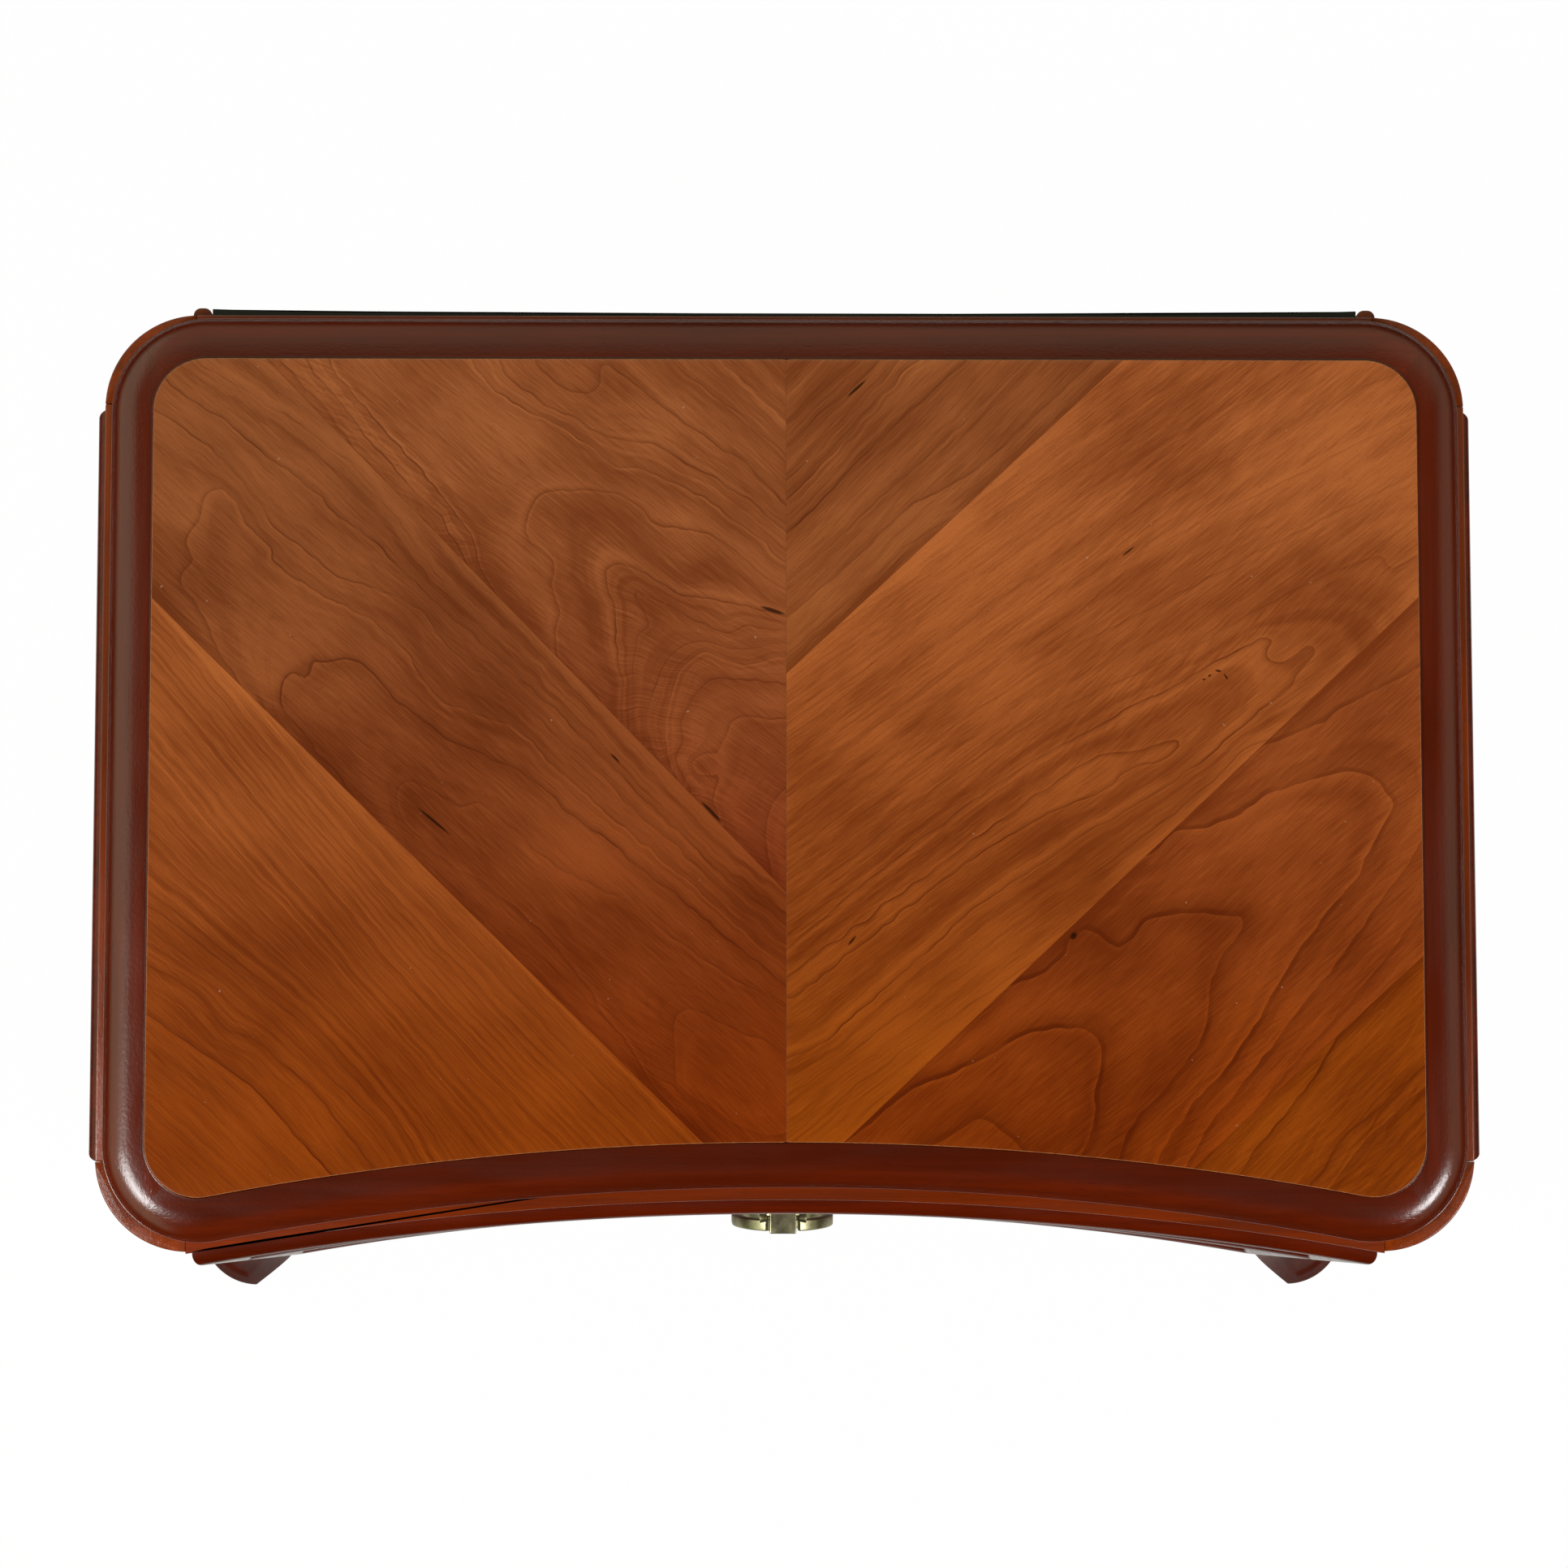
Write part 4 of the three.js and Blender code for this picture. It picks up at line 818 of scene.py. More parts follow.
def aged_brass(name, tone, along):
    """Brushed antique brass: fine scratches, brown patina in soft patches and small dark specks."""
    f = Finish(name)
    place = f.place()
    brush = f.noise(place, along, 3, 0.6)
    patina = f.noise(place, (130, 130, 130), 4, 0.6)
    speck = f.span(f.noise(place, (1100, 1100, 1100), 1), 0.66, 0.76)
    tint = f.weighted((brush, 0.5), (patina, 1.0))
    base = f.ramp(tint, (0.25, shaded(tone, 0.5)), (0.5, tone), (0.8, shaded(tone, 1.3)))
    base = f.mix(f.math("MULTIPLY", speck, 0.5), base, shaded(tone, 0.2))
    rough = f.span(f.weighted((brush, 0.6), (patina, 0.5)), 0.25, 0.75, 0.26, 0.42)
    return f.surface(base, rough, f.bump(brush, BRUSH_DEPTH), Metallic=1.0)


def plated_steel(name, tone):
    """Zinc-plated steel: cloudy spangle and fine scratches."""
    f = Finish(name)
    place = f.place()
    spangle = f.noise(place, (420, 420, 420), 3)
    scratch = f.noise(place, (300, 5000, 300), 2)
    base = f.ramp(f.weighted((spangle, 1.0), (scratch, 0.4)), (0.2, shaded(tone, 0.7)), (0.7, tone))
    rough = f.span(spangle, 0.3, 0.7, 0.25, 0.42)
    return f.surface(base, rough, f.bump(scratch, SCRATCH_DEPTH), Metallic=1.0)


def moulded_nylon(name, tone):
    """Moulded nylon with a fine grain and scuffs."""
    f = Finish(name)
    place = f.place()
    grain = f.noise(place, (1500, 1500, 1500), 2)
    scuff = f.noise(place, (300, 90, 90), 3)
    tint = f.weighted((grain, 0.4), (scuff, 0.9))
    base = f.ramp(tint, (0.25, shaded(tone, 0.7)), (0.8, shaded(tone, 1.7)))
    return f.surface(base, f.span(scuff, 0.3, 0.7, 0.5, 0.68), f.bump(grain, MOULD_DEPTH))


def chosen(f, beyond, before, after, kind):
    """What lies before a joint, or past it what lies after."""
    if kind == "FLOAT":
        return f.math("MULTIPLY_ADD", beyond, f.math("SUBTRACT", after, before), before)
    return f.mix(beyond, before, after, kind)


def ring_mark(f, ring, marks):
    """Strength of the dark line of a ring, from a list by ring number."""
    number = f.math("ADD", f.math("FLOOR", ring), 0.5)
    node = f.node("ValToRGB", {0: f.math("DIVIDE", number, float(MOST_RINGS))})
    node.color_ramp.interpolation = "CONSTANT"
    elements = node.color_ramp.elements
    while len(elements) < len(marks):
        elements.new(0.99)
    for number, (element, mark) in enumerate(zip(elements, marks)):
        element.position, element.color = number / MOST_RINGS, (mark, mark, mark, 1)
    return node.outputs[0]


def gum_streaks(f, place, streaks):
    """Short dark lenses: 1 inside the ellipse of a length and a width turned to an angle, 0 outside."""
    total = 0.0
    for x, y, long, wide, angle in streaks:
        cosine, sine = math.cos(math.radians(angle)), math.sin(math.radians(angle))
        away = f.vector("SUBTRACT", place, (x * MM, y * MM, TOP_HEIGHT))
        along = f.vector("DOT_PRODUCT", away, (cosine / (long * MM), sine / (long * MM), 0))
        across = f.vector("DOT_PRODUCT", away, (-sine / (wide * MM), cosine / (wide * MM), 0))
        size = f.math("MULTIPLY_ADD", along, along, f.math("MULTIPLY", across, across))
        total = f.math("MAXIMUM", total, f.span(size, 0.2, 1.0, 1.0, 0.0))
    return total


def veneer_finish(name, strips, joints, streaks):
    """Cherry veneer laid in diagonal strips. Two attributes of each strip give the distance along the grain,
    the distance across it, the ring number and the distance between rings. A ring's line is darkest where the
    ring begins and fades towards the next. Marks, colours and joints come from the tables."""
    f = Finish(name)
    place = f.place()
    # Share towards the front: each strip's tone fades from the back colour, partly a painted sheen, to the
    # front colour.
    fore = f.span(f.node("SeparateXYZ", {0: place}).outputs[1], TONE_AND_SHEEN_FRONT, TONE_AND_SHEEN_BACK, 1.0, 0.0)
    off_joint, edge_tone = 1.0, 0.0
    for number, strip in enumerate(strips):
        vector = f.node("Attribute", attribute_name=f"strip_{number}").outputs["Vector"]
        gap = f.node("Attribute", attribute_name=f"spacing_{number}").outputs["Fac"]
        ring = f.node("SeparateXYZ", {0: vector}).outputs[2]
        here = dict(
            figure=vector, spacing=gap, tone=f.mix(fore, written(strip["back"]), written(strip["front"])),
            mark=ring_mark(f, ring, strip["marks"]), straight=strip["straight"], shade=strip["shade"] * MM,
            fine=float(strip["fine"]),
        )
        if number == 0:
            now = here
            continue
        x, y, slope, bright = joints[number - 1]
        size = math.hypot(slope, 1)
        normal = np.array([-slope / size, 1 / size, 0]) * (-1 if slope > 0 else 1)
        joint_at = float(normal[0] * x + normal[1] * y) * MM
        from_joint = f.math("SUBTRACT", f.vector("DOT_PRODUCT", place, normal.tolist()), joint_at)
        beyond = f.math("GREATER_THAN", from_joint, 0.0)
        kinds = dict(figure="VECTOR", tone="RGBA")
        now = {key: chosen(f, beyond, now[key], here[key], kinds.get(key, "FLOAT")) for key in now}
        distance = f.math("ABSOLUTE", from_joint)
        off_joint = f.math("MULTIPLY", off_joint, f.span(distance, *JOINT_LINE))
        side = f.math("MULTIPLY_ADD", beyond, 2.0 * bright, -1.0 * bright)
        fade = f.span(distance, 0.0, JOINT_FADE, 1.0, 0.0)
        edge_tone = f.math("MULTIPLY_ADD", f.math("MULTIPLY", side, fade), JOINT_TONE, edge_tone)
    parts = f.node("SeparateXYZ", {0: now["figure"]}).outputs
    ring = parts[2]
    flat = f.node("CombineXYZ", {0: parts[0], 1: parts[1]}).outputs[0]
    within = f.math("FRACT", ring)
    outward = f.math("MULTIPLY", within, now["spacing"])
    inward = f.math("MULTIPLY", f.math("SUBTRACT", 1.0, within), now["spacing"])
    past_line = f.math("DIVIDE", outward, now["shade"])
    core = f.span(past_line, *LINE_CORE, 1.0, 0.0)
    soft = f.math("POWER", f.node("MapRange", {0: past_line, 3: 1.0, 4: 0.0}).outputs[0], 1.6)
    change = f.span(f.noise(place, (30, 30, 30), 2), 0.3, 0.7, 0.4, 1.0)
    late = f.math("MAXIMUM", f.math("MULTIPLY", core, change), f.math("MULTIPLY", soft, SOFT_STRENGTH))
    late = f.math("MULTIPLY", late, now["mark"])
    glow = f.math("MULTIPLY", f.span(inward, 0.0, GLOW_WIDTH, 1.0, 0.0), GLOW_STRENGTH)
    glow = f.math("MULTIPLY", glow, now["mark"])
    phase = f.math("FRACT", f.math("MULTIPLY", ring, now["fine"]))
    fine = f.span(phase, 0.0, 0.4, 1.0, 0.0)
    fine = f.math("MULTIPLY", fine, f.span(f.noise(flat, (9, 190, 1), 2), 0.45, 0.7))
    fine = f.math("MULTIPLY", fine, now["straight"])
    band_inputs = {"W": f.math("MULTIPLY", ring, 1.9), "Scale": 1.0, "Detail": 2.0}
    band = f.node("TexNoise", band_inputs, noise_dimensions="1D").outputs[0]
    streak = f.noise(flat, (5, 150, 1), 4, 0.6)
    silk = f.noise(flat, (20, 520, 1), 3, 0.6)
    fleck = f.noise(flat, (60, 1400, 1), 2)
    grain = f.weighted((streak, 0.65), (silk, 0.9))
    grain = f.math("MULTIPLY_ADD", f.math("SUBTRACT", grain, 0.5), now["straight"], 0.5)
    blotch = f.noise(place, (11, 11, 11), 2)
    mottle = f.noise(flat, (26, 90, 1), 2)
    tint = f.weighted((band, 0.46), (grain, 0.62), (fleck, 0.52), (blotch, 0.8), (mottle, 0.1))
    tint = f.math("ADD", f.math("ADD", tint, glow), edge_tone)
    light = f.mix(1.0, now["tone"], LIGHT_TINT, blend="MULTIPLY")
    dark = f.mix(1.0, now["tone"], DARK_TINT, blend="MULTIPLY")
    base = f.mix(f.span(tint, 0.15, 0.85), dark, light)
    line = f.mix(1.0, now["tone"], LATE_TINT, blend="MULTIPLY")
    base = f.mix(f.math("MULTIPLY", late, LINE_STRENGTH), base, line)
    base = f.mix(f.math("MULTIPLY", fine, FINE_STRENGTH), base, line)
    pore = f.math("MULTIPLY", f.span(f.noise(flat, (420, 2600, 1), 1), 0.6, 0.75), PORE_STRENGTH)
    base = f.mix(pore, base, line)
    base = f.mix(f.math("MULTIPLY", f.math("SUBTRACT", 1.0, off_joint), JOINT_STRENGTH), base, line)
    base = f.mix(f.math("MULTIPLY", gum_streaks(f, place, streaks), GUM_STRENGTH), base, GUM)
    speck = f.span(f.noise(place, (330, 330, 330), 1), 0.81, 0.84)
    base = f.mix(f.math("MULTIPLY", speck, DUST_STRENGTH), base, DUST)
    rough = f.span(silk, 0.3, 0.7, 0.16, 0.21)
    height = f.math("MULTIPLY_ADD", fleck, 0.5, silk)
    return f.surface(base, rough, f.bump(height, POLISH_DEPTH), **{"Specular IOR Level": 0.35})


def veneer_edge_and_highlight(name, tone):
    """The veneer's sanded edge: pale end grain with darker nicks. Its pale tone is partly a painted highlight
    along the rounded edge.
    """
    f = Finish(name)
    place = f.place()
    nick = f.noise(place, (350, 350, 2000), 3)
    base = f.ramp(nick, (0.3, shaded(tone, 0.6)), (0.6, tone))
    return f.surface(base, f.span(nick, 0.3, 0.7, 0.35, 0.5), f.bump(nick, NICK_DEPTH))


BRUSHED = {"x": (500, 6000, 6000), "z": (6000, 6000, 500)}
finishes = {}


def finish(slot, grain="x"):
    """The material of a record slot, with its grain along an axis, made when it is first asked for."""
    colours = bpy.context.scene.nightstand_colours
    key = (slot, grain)
    if key not in finishes:
        rim, panel = written(colours.rim), written(colours.panel)
        # Posts, side rails and rear beads take the side stain, whose lighter, more orange tone is painted
        # light.
        case = written(colours.case if grain == "x" else colours.side)
        # Painted shade: the feet are a darker copy of the panel stain.
        foot = shaded(panel, FOOT_PAINTED_SHADE)
        finishes[key] = {
            # The rim's stain carries a painted shade beside the veneer's step.
            "rim_wood": lambda: stained_wood(f"rim_stain_and_shade_{grain}", rim, grain, 0.7, 0.21, groove=RIM_STEP_SHADE),
            "case_wood": lambda: stained_wood(f"case_stain_{grain}", case, grain, index=1.42),
            "shaded_foot_wood": lambda: stained_wood(f"foot_shaded_stain_{grain}", foot, grain, 1.0, 0.4, 0.15, 1.25),
            "panel_wood": lambda: stained_wood(f"panel_stain_{grain}", panel, grain, index=1.36),
            "inner_wood": lambda: sealed_wood(f"sealed_wood_{grain}", written(colours.inner), grain),
            "core_board": lambda: particle_board("particle_board", written(colours.core)),
            "black_back": lambda: painted_board("black_paint", written(colours.black)),
            "aged_brass": lambda: aged_brass(f"aged_brass_{grain}", written(colours.brass), BRUSHED[grain]),
            "screw_steel": lambda: plated_steel("zinc_plate", written(colours.steel)),
            "glide_plastic": lambda: moulded_nylon("nylon", written(colours.nylon)),
        }[slot]()
    return finishes[key]


node_bodies = {
    node: body for body, nodes in frame["record"]["behaviour"]["bodies"].items() for node in nodes
}


def stand_for(piece, node, slot, *materials):
    """The piece takes a CAD node's place, moves with its body and gets its finish."""
    for material in materials:
        piece.data.materials.append(material)
    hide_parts(node)
    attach(piece, node_bodies[node])


def made(node, shells, slot, grain="x", smooth=35, stain=None):
    """A finished piece in place of a CAD node, with the finish of its slot or a stain of its own."""
    piece = make_piece(f"{node}_made", shells, smooth)
    stand_for(piece, node, slot, finish(stain or slot, grain))


def made_board(node, slot, grain, rounding):
    """A straight board with softened edges, as large as its CAD node."""
    low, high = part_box(node)
    along = "xyz".index(grain)
    board = prism(box_outline(low, high, grain), low[along], high[along], rounding, grain)
    made(node, [board], slot, grain)


# Veneer


def wander(x, y, amount, seed):
    """A slight waver of the rings' lines: a sum of waves whose directions and starts come from the seed.
    Shorter waves are lower, by the power 0.6 of their length."""
    chance = np.random.default_rng(seed)
    total = np.zeros_like(x)
    for size in WAVE_LENGTHS:
        for _ in range(WAVES_EACH):
            turn, start = chance.uniform(0, 2 * np.pi, 2)
            way = x * np.cos(turn) + y * np.sin(turn)
            total += (size / WAVE_LENGTHS[0]) ** 0.6 * np.sin(2 * np.pi * way / size + start)
    return total * amount / WAVES_EACH


def ring_surface(rings):
    """Ring number as a smooth surface through lines of equal ring: a plane plus the sum of w r² log r over
    the points of the lines, with r the distance to the point and w solved so that the surface meets them."""
    dense = [(ring, smooth_line(np.reshape(flat, (-1, 2)), 2)) for ring, flat in rings]
    known = np.concatenate([line for _, line in dense]) / 100
    value = np.concatenate([np.full(len(line), float(ring)) for ring, line in dense])

    def kernel(a, b):
        square = np.square(a[:, None] - b[None]).sum(-1)
        return square * np.log(square + 1e-12) / 2

    plane = np.column_stack([np.ones(len(known)), known])
    bent = kernel(known, known) + SMOOTHING * np.eye(len(known))
    system = np.block([[bent, plane], [plane.T, np.zeros((3, 3))]])
    weights = np.linalg.solve(system, np.append(value, np.zeros(3)))

    def at(x, y):
        place = np.column_stack([x, y]) / 100
        return np.column_stack([kernel(place, known), np.ones(len(place)), place]) @ weights

    return at


def strip_figure(strip, x, y, seed):
    """At points in millimetres: distance along and across the grain in metres with the ring number, and the
    distance between rings in metres, which is 1 over the slope of the ring number."""
    angle = math.radians(strip["grain"])
    s = x * math.cos(angle) + y * math.sin(angle)
    t = y * math.cos(angle) - x * math.sin(angle)
    ring_at = ring_surface(strip["rings"])
    wx = x + wander(x, y, strip["waver"], seed)
    wy = y + wander(x, y, strip["waver"], seed + SEED_STEP)
    ring = ring_at(wx, wy)
    slope = np.hypot(ring_at(wx + 1, wy) - ring, ring_at(wx, wy + 1) - ring)
    figure = np.stack([s * MM + seed, (t + strip["bend"] * ring) * MM, ring], -1)
    return figure, MM / np.maximum(slope, LEAST_SLOPE)


def leaf_outline(side, inset, seam, step):
    """Columns of a leaf from the seam outwards: x, and y from the concave front to the back."""
    radius = TOP.corner_radius - inset
    turn = np.linspace(0, np.pi / 2, 16)[1:]
    inner = np.linspace(seam, TOP.corner_x, int((TOP.corner_x - seam) / step))
    x = np.concatenate([inner, TOP.corner_x + radius * np.sin(turn)])
    reach = np.sqrt(np.maximum(radius**2 - np.square(x - TOP.corner_x), 0))
    tangent = (TOP.curve + inset) * math.cos(TOP.meet)
    front = np.where(x < tangent, TOP.front_y(x, inset), TOP.fore_y - reach)
    back = np.where(x < TOP.corner_x, TOP.rear_y + radius, TOP.rear_y + reach)
    return side * x, front, back


def veneer_leaf(node, side, strips, joints, streaks, seed):
    """A leaf: a flat grid between the concave front and the back, with a rounded edge all round."""
    sizes = bpy.context.scene.nightstand_sizes
    low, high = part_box(node)
    edge = sizes.veneer_round
    inset, seam = RIM_WIDTH + JOINT_GAP + edge, JOINT_GAP + SEAM_SHARE * edge
    x, front, back = leaf_outline(side, inset, seam, sizes.veneer_step)
    share_of = np.linspace(0, 1, int((back[0] - front[0]) / sizes.veneer_step))[:, None]
    y = front + share_of * (back - front)
    face = np.stack([np.broadcast_to(x, y.shape), y, np.full(y.shape, high.z)], -1)
    rows, columns = y.shape
    index = np.arange(rows * columns).reshape(rows, columns)
    loop = np.concatenate([index[0, :-1], index[:-1, -1], index[-1, :0:-1], index[:0:-1, 0]])
    rim = face.reshape(-1, 3)[loop]
    along = np.roll(rim, -1, 0) - np.roll(rim, 1, 0)
    outward = np.stack([side * along[:, 1], -side * along[:, 0]], 1)
    outward /= np.linalg.norm(outward, axis=1)[:, None]
    angle = np.linspace(0, np.pi / 2, 4)[1:]
    offset = np.append(edge * np.sin(angle), edge)
    level = np.append(high.z - edge * (1 - np.cos(angle)), low.z)
    soft = np.where(np.abs(rim[:, 0]) < edge, SEAM_SHARE, 1.0)
    skirt = rim[None, :, :2] + offset[:, None, None] * soft[None, :, None] * outward
    level = high.z + (level - high.z)[:, None] * np.where(level[:, None] > low.z, soft[None], 1.0)
    skirt = np.concatenate([skirt, level[..., None]], -1)
    rings = np.concatenate([loop[None], rows * columns + np.arange(level.size).reshape(level.shape)])
    wrapped = np.concatenate([rings, rings[:, :1]], 1)
    points = np.concatenate([face.reshape(-1, 3), skirt.reshape(-1, 3)])
    faces = [cell_quads(index), cell_quads(wrapped)[:, ::-1], rings[-1]]
    piece = make_piece(f"{node}_made", [(points, faces)], 50)
    px, py = points[:, 0] / MM, points[:, 1] / MM
    beyond = [(py - y - slope * (px - x)) * (-1 if slope > 0 else 1) for x, y, slope, _ in joints]
    for number, strip in enumerate(strips):
        used = np.ones(len(px), bool)
        if number > 0:
            used &= beyond[number - 1] > -JOINT_OVERLAP
        if number < len(joints):
            used &= beyond[number] < JOINT_OVERLAP
        figure, spacing = np.zeros((len(px), 3)), np.full(len(px), UNUSED_SPACING)
        figure[used], spacing[used] = strip_figure(strip, px[used], py[used], seed + number)
        attribute = piece.data.attributes.new(f"strip_{number}", "FLOAT_VECTOR", "POINT")
        attribute.data.foreach_set("vector", figure.astype(np.float32).ravel())
        attribute = piece.data.attributes.new(f"spacing_{number}", "FLOAT", "POINT")
        attribute.data.foreach_set("value", spacing.astype(np.float32))
    colours = bpy.context.scene.nightstand_colours
    # The leaf's rounded edge and sides get the pale edge finish, partly a painted highlight.
    if "edge" not in finishes:
        finishes["edge"] = veneer_edge_and_highlight("veneer_edge_and_highlight", written(colours.veneer_edge_and_highlight))
    stand_for(piece, node, "veneer", veneer_finish(node, strips, joints, streaks), finishes["edge"])
    material_index = np.zeros(len(piece.data.polygons), np.int32)
    material_index[(rows - 1) * (columns - 1):] = 1
    piece.data.polygons.foreach_set("material_index", material_index)


class NIGHTSTAND_OT_veneer(Operator):
    """Lay the two veneer leaves"""

    bl_idname = "nightstand.veneer"
    bl_label = "Veneer leaves"

    def execute(self, context):
        veneer_leaf("veneer_leaf_left", -1, LEFT_STRIPS, LEFT_JOINTS, LEFT_STREAKS, 1)
        veneer_leaf("veneer_leaf_right", 1, RIGHT_STRIPS, RIGHT_JOINTS, RIGHT_STREAKS, 11)
        return {"FINISHED"}


class NIGHTSTAND_OT_rim(Operator):
    """Run the four mouldings of the rim"""

    bl_idname = "nightstand.rim"
    bl_label = "Rim mouldings"

    def execute(self, context):
        shares = smooth_line(RIM_SHARES, 5)
        section = np.stack([RIM_WIDTH * (1 - shares[:, 0]), TOP_HEIGHT - RIM_DROP * shares[:, 1]], 1)
        base = np.array([[0, RIM_SEAT], [RIM_WIDTH, RIM_SEAT]])
        section = np.concatenate([section, base])
        gap = MITRE_GAP / TOP_CORNER
        rear_mitre, fore_mitre = np.pi / 4, (TOP.meet - np.pi) / 2
        rear = TOP.corner(1, TOP.rear_y, np.linspace(rear_mitre + gap, np.pi / 2, 20))
        fore = TOP.corner(1, TOP.fore_y, np.linspace(fore_mitre - gap, TOP.meet - np.pi, 20))
        arc = TOP.front(np.linspace(TOP.meet, np.pi - TOP.meet, 65)[1:-1])
        right = joined(
            TOP.corner(1, TOP.rear_y, np.linspace(rear_mitre - gap, 0, 20)),
            TOP.corner(1, TOP.fore_y, np.linspace(0, fore_mitre + gap, 20)),
        )
        made("rim_moulding_back", [swept(joined(rear, mirrored(*rear)), section)], "rim_wood", "x")
        made("rim_moulding_front", [swept(joined(fore, arc, mirrored(*fore)), section)], "rim_wood", "x")
        made("rim_moulding_right", [swept(right, section)], "rim_wood", "y")
        made("rim_moulding_left", [swept(mirrored(*right), section)], "rim_wood", "y")
        return {"FINISHED"}


# Case


def post_outline(side, centre_y, flat_y, sign):
    """Plan of a post: two flat inner sides and the part of the case's round corner that it fills."""
    inner = POST_INNER + JOINT_GAP
    short = sign * (flat_y - centre_y)
    start = math.asin(max(short, 0) / CASE_CORNER)
    end = math.acos((inner - CASE.corner_x) / CASE_CORNER)
    points, _ = CASE.corner(side, centre_y, sign * np.linspace(start, end, 28))
    straight = [[side * CASE_HALF_WIDTH, flat_y]] if short < 0 else []
    return np.array([*straight, *points.tolist(), [side * inner, flat_y]])


class NIGHTSTAND_OT_posts(Operator):
    """Stand the four corner posts"""

    bl_idname = "nightstand.posts"
    bl_label = "Corner posts"

    def execute(self, context):
        rounding = context.scene.nightstand_sizes.edge_round
        for hand, side in (("left", -1), ("right", 1)):
            for end, centre, flat, sign in (
                ("front", CASE.fore_y, FRONT_POST_BACK, -1),
                ("rear", CASE.rear_y, REAR_POST_FRONT, 1),
            ):
                node = f"corner_post_{end}_{hand}"
                low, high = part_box(node)
                outline = post_outline(side, centre, flat, sign)
                shell = prism(outline, low.z, high.z, rounding, "z", HIDDEN_ROUND, shown=on_case_face)
                made(node, [shell], "case_wood", "z")
        return {"FINISHED"}


def on_case_face(x, y):
    """Whether points of a plan lie on the outside of the case and not on a face that meets another piece."""
    near = 1 * MM
    beside_post = (np.abs(x) > POST_INNER + near) | (np.abs(x) < POST_INNER - near)
    off_side_joint = (y < FRONT_POST_BACK - near) | (y > REAR_POST_FRONT + near) | (np.abs(x) < POST_INNER)
    return beside_post & off_side_joint


def front_rail(node, inset, rounding):
    """A rail whose front edge follows the concave front."""
    low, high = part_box(node)
    half = POST_INNER - JOINT_GAP
    x = np.linspace(-half, half, 61)
    edge = np.stack([x, CASE.front_y(x, inset)], 1)
    outline = np.concatenate([edge, [[half, high.y], [-half, high.y]]])
    shell = prism(outline, low.z, high.z, rounding, "z", HIDDEN_ROUND, shown=on_case_face)
    made(node, [shell], "case_wood", "x")


class NIGHTSTAND_OT_rails(Operator):
    """Fit the rails of the case"""

    bl_idname = "nightstand.rails"
    bl_label = "Rails"

    def execute(self, context):
        rounding = context.scene.nightstand_sizes.edge_round
        front_rail("top_rail_front", 0, rounding)
        front_rail("drawer_divider_rail", FIELD_SET, rounding)
        front_rail("bottom_rail_front", FIELD_SET, rounding)
        for hand in ("left", "right"):
            made_board(f"top_rail_{hand}", "case_wood", "y", rounding)
        made_board("top_rail_back", "case_wood", "x", rounding)
        made_board("bottom_rail_back", "case_wood", "x", rounding)
        return {"FINISHED"}


def bead_lines(start, end, width, field):
    """Grid lines across a framed panel: close together over its two beads, even between them."""
    share_of = (1 - np.cos(np.linspace(0, np.pi, 13))) / 2
    middle = np.linspace(start + width, end - width, field + 1)[1:-1]
    return np.concatenate([start + width * share_of, middle, end - width * share_of[::-1]])


def bead_rise(distance, width, rise):
    """Half an ellipse: rise √(1 - (2d/width - 1)²) at a distance d in from the edge."""
    across = np.clip(2 * distance / width - 1, -1, 1)
    return rise * np.sqrt(1 - across**2)


class NIGHTSTAND_OT_side_panels(Operator):
    """Fit the two side panels with their raised beads"""

    bl_idname = "nightstand.side_panels"
    bl_label = "Side panels"

    def execute(self, context):
        sizes = context.scene.nightstand_sizes
        bead_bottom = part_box("lower_drawer_front")[0].z
        for hand, side in (("left", -1), ("right", 1)):
            node = f"side_panel_{hand}"
            low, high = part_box(node)
            y = bead_lines(low.y, high.y, sizes.bead_width, 12)
            z = np.concatenate([[low.z], bead_lines(bead_bottom, high.z, sizes.bead_width, 16)])
            grid_y, grid_z = np.meshgrid(y, z)
            edges = [grid_y - low.y, high.y - grid_y, grid_z - bead_bottom, high.z - grid_z]
            rise = bead_rise(np.maximum(np.minimum.reduce(edges), 0), sizes.bead_width, sizes.side_rise)
            outer = CASE_HALF_WIDTH - FIELD_SET
            inner = min(abs(low.x), abs(high.x))
            face = np.stack([side * (outer + rise), grid_y, grid_z], -1)
            back = np.stack([np.full(grid_y.shape, side * inner), grid_y, grid_z], -1)
            made(node, [slab(face, back)], "panel_wood", "z")
        return {"FINISHED"}


class NIGHTSTAND_OT_back(Operator):
    """Fit the black back panel and its two beads"""

    bl_idname = "nightstand.back"
    bl_label = "Back panel and beads"

    def execute(self, context):
        sizes = context.scene.nightstand_sizes
        low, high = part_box("back_panel")
        half = high.x
        x = np.linspace(-half, half, 81)
        outer = high.y + BACK_FACE + sizes.back_bow * np.abs(x / half) ** 6
        outline = np.concatenate([np.stack([x, outer], 1), [[half, low.y], [-half, low.y]]])
        made("back_panel", [prism(outline, low.z, high.z, BACK_ROUND, "z", BACK_CORNER)], "black_back")
        for hand in ("left", "right"):
            node = f"rear_bead_{hand}"
            low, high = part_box(node)
            radius = REAR_BEAD_RADIUS
            turn = np.linspace(0, np.pi / 2, 10)
            across, out = high.x - radius + radius * np.cos(turn), high.y - radius + radius * np.sin(turn)
            right = np.stack([across, out], 1)
            left = right[::-1] * [-1, 1] + [high.x + low.x, 0]
            outline = np.concatenate([[[high.x, low.y]], right, left, [[low.x, low.y]]])
            bead = prism(outline, low.z, high.z, REAR_BEAD_ROUND, "z", HIDDEN_ROUND)
            made(node, [bead], "case_wood", "z")
        return {"FINISHED"}


# Feet


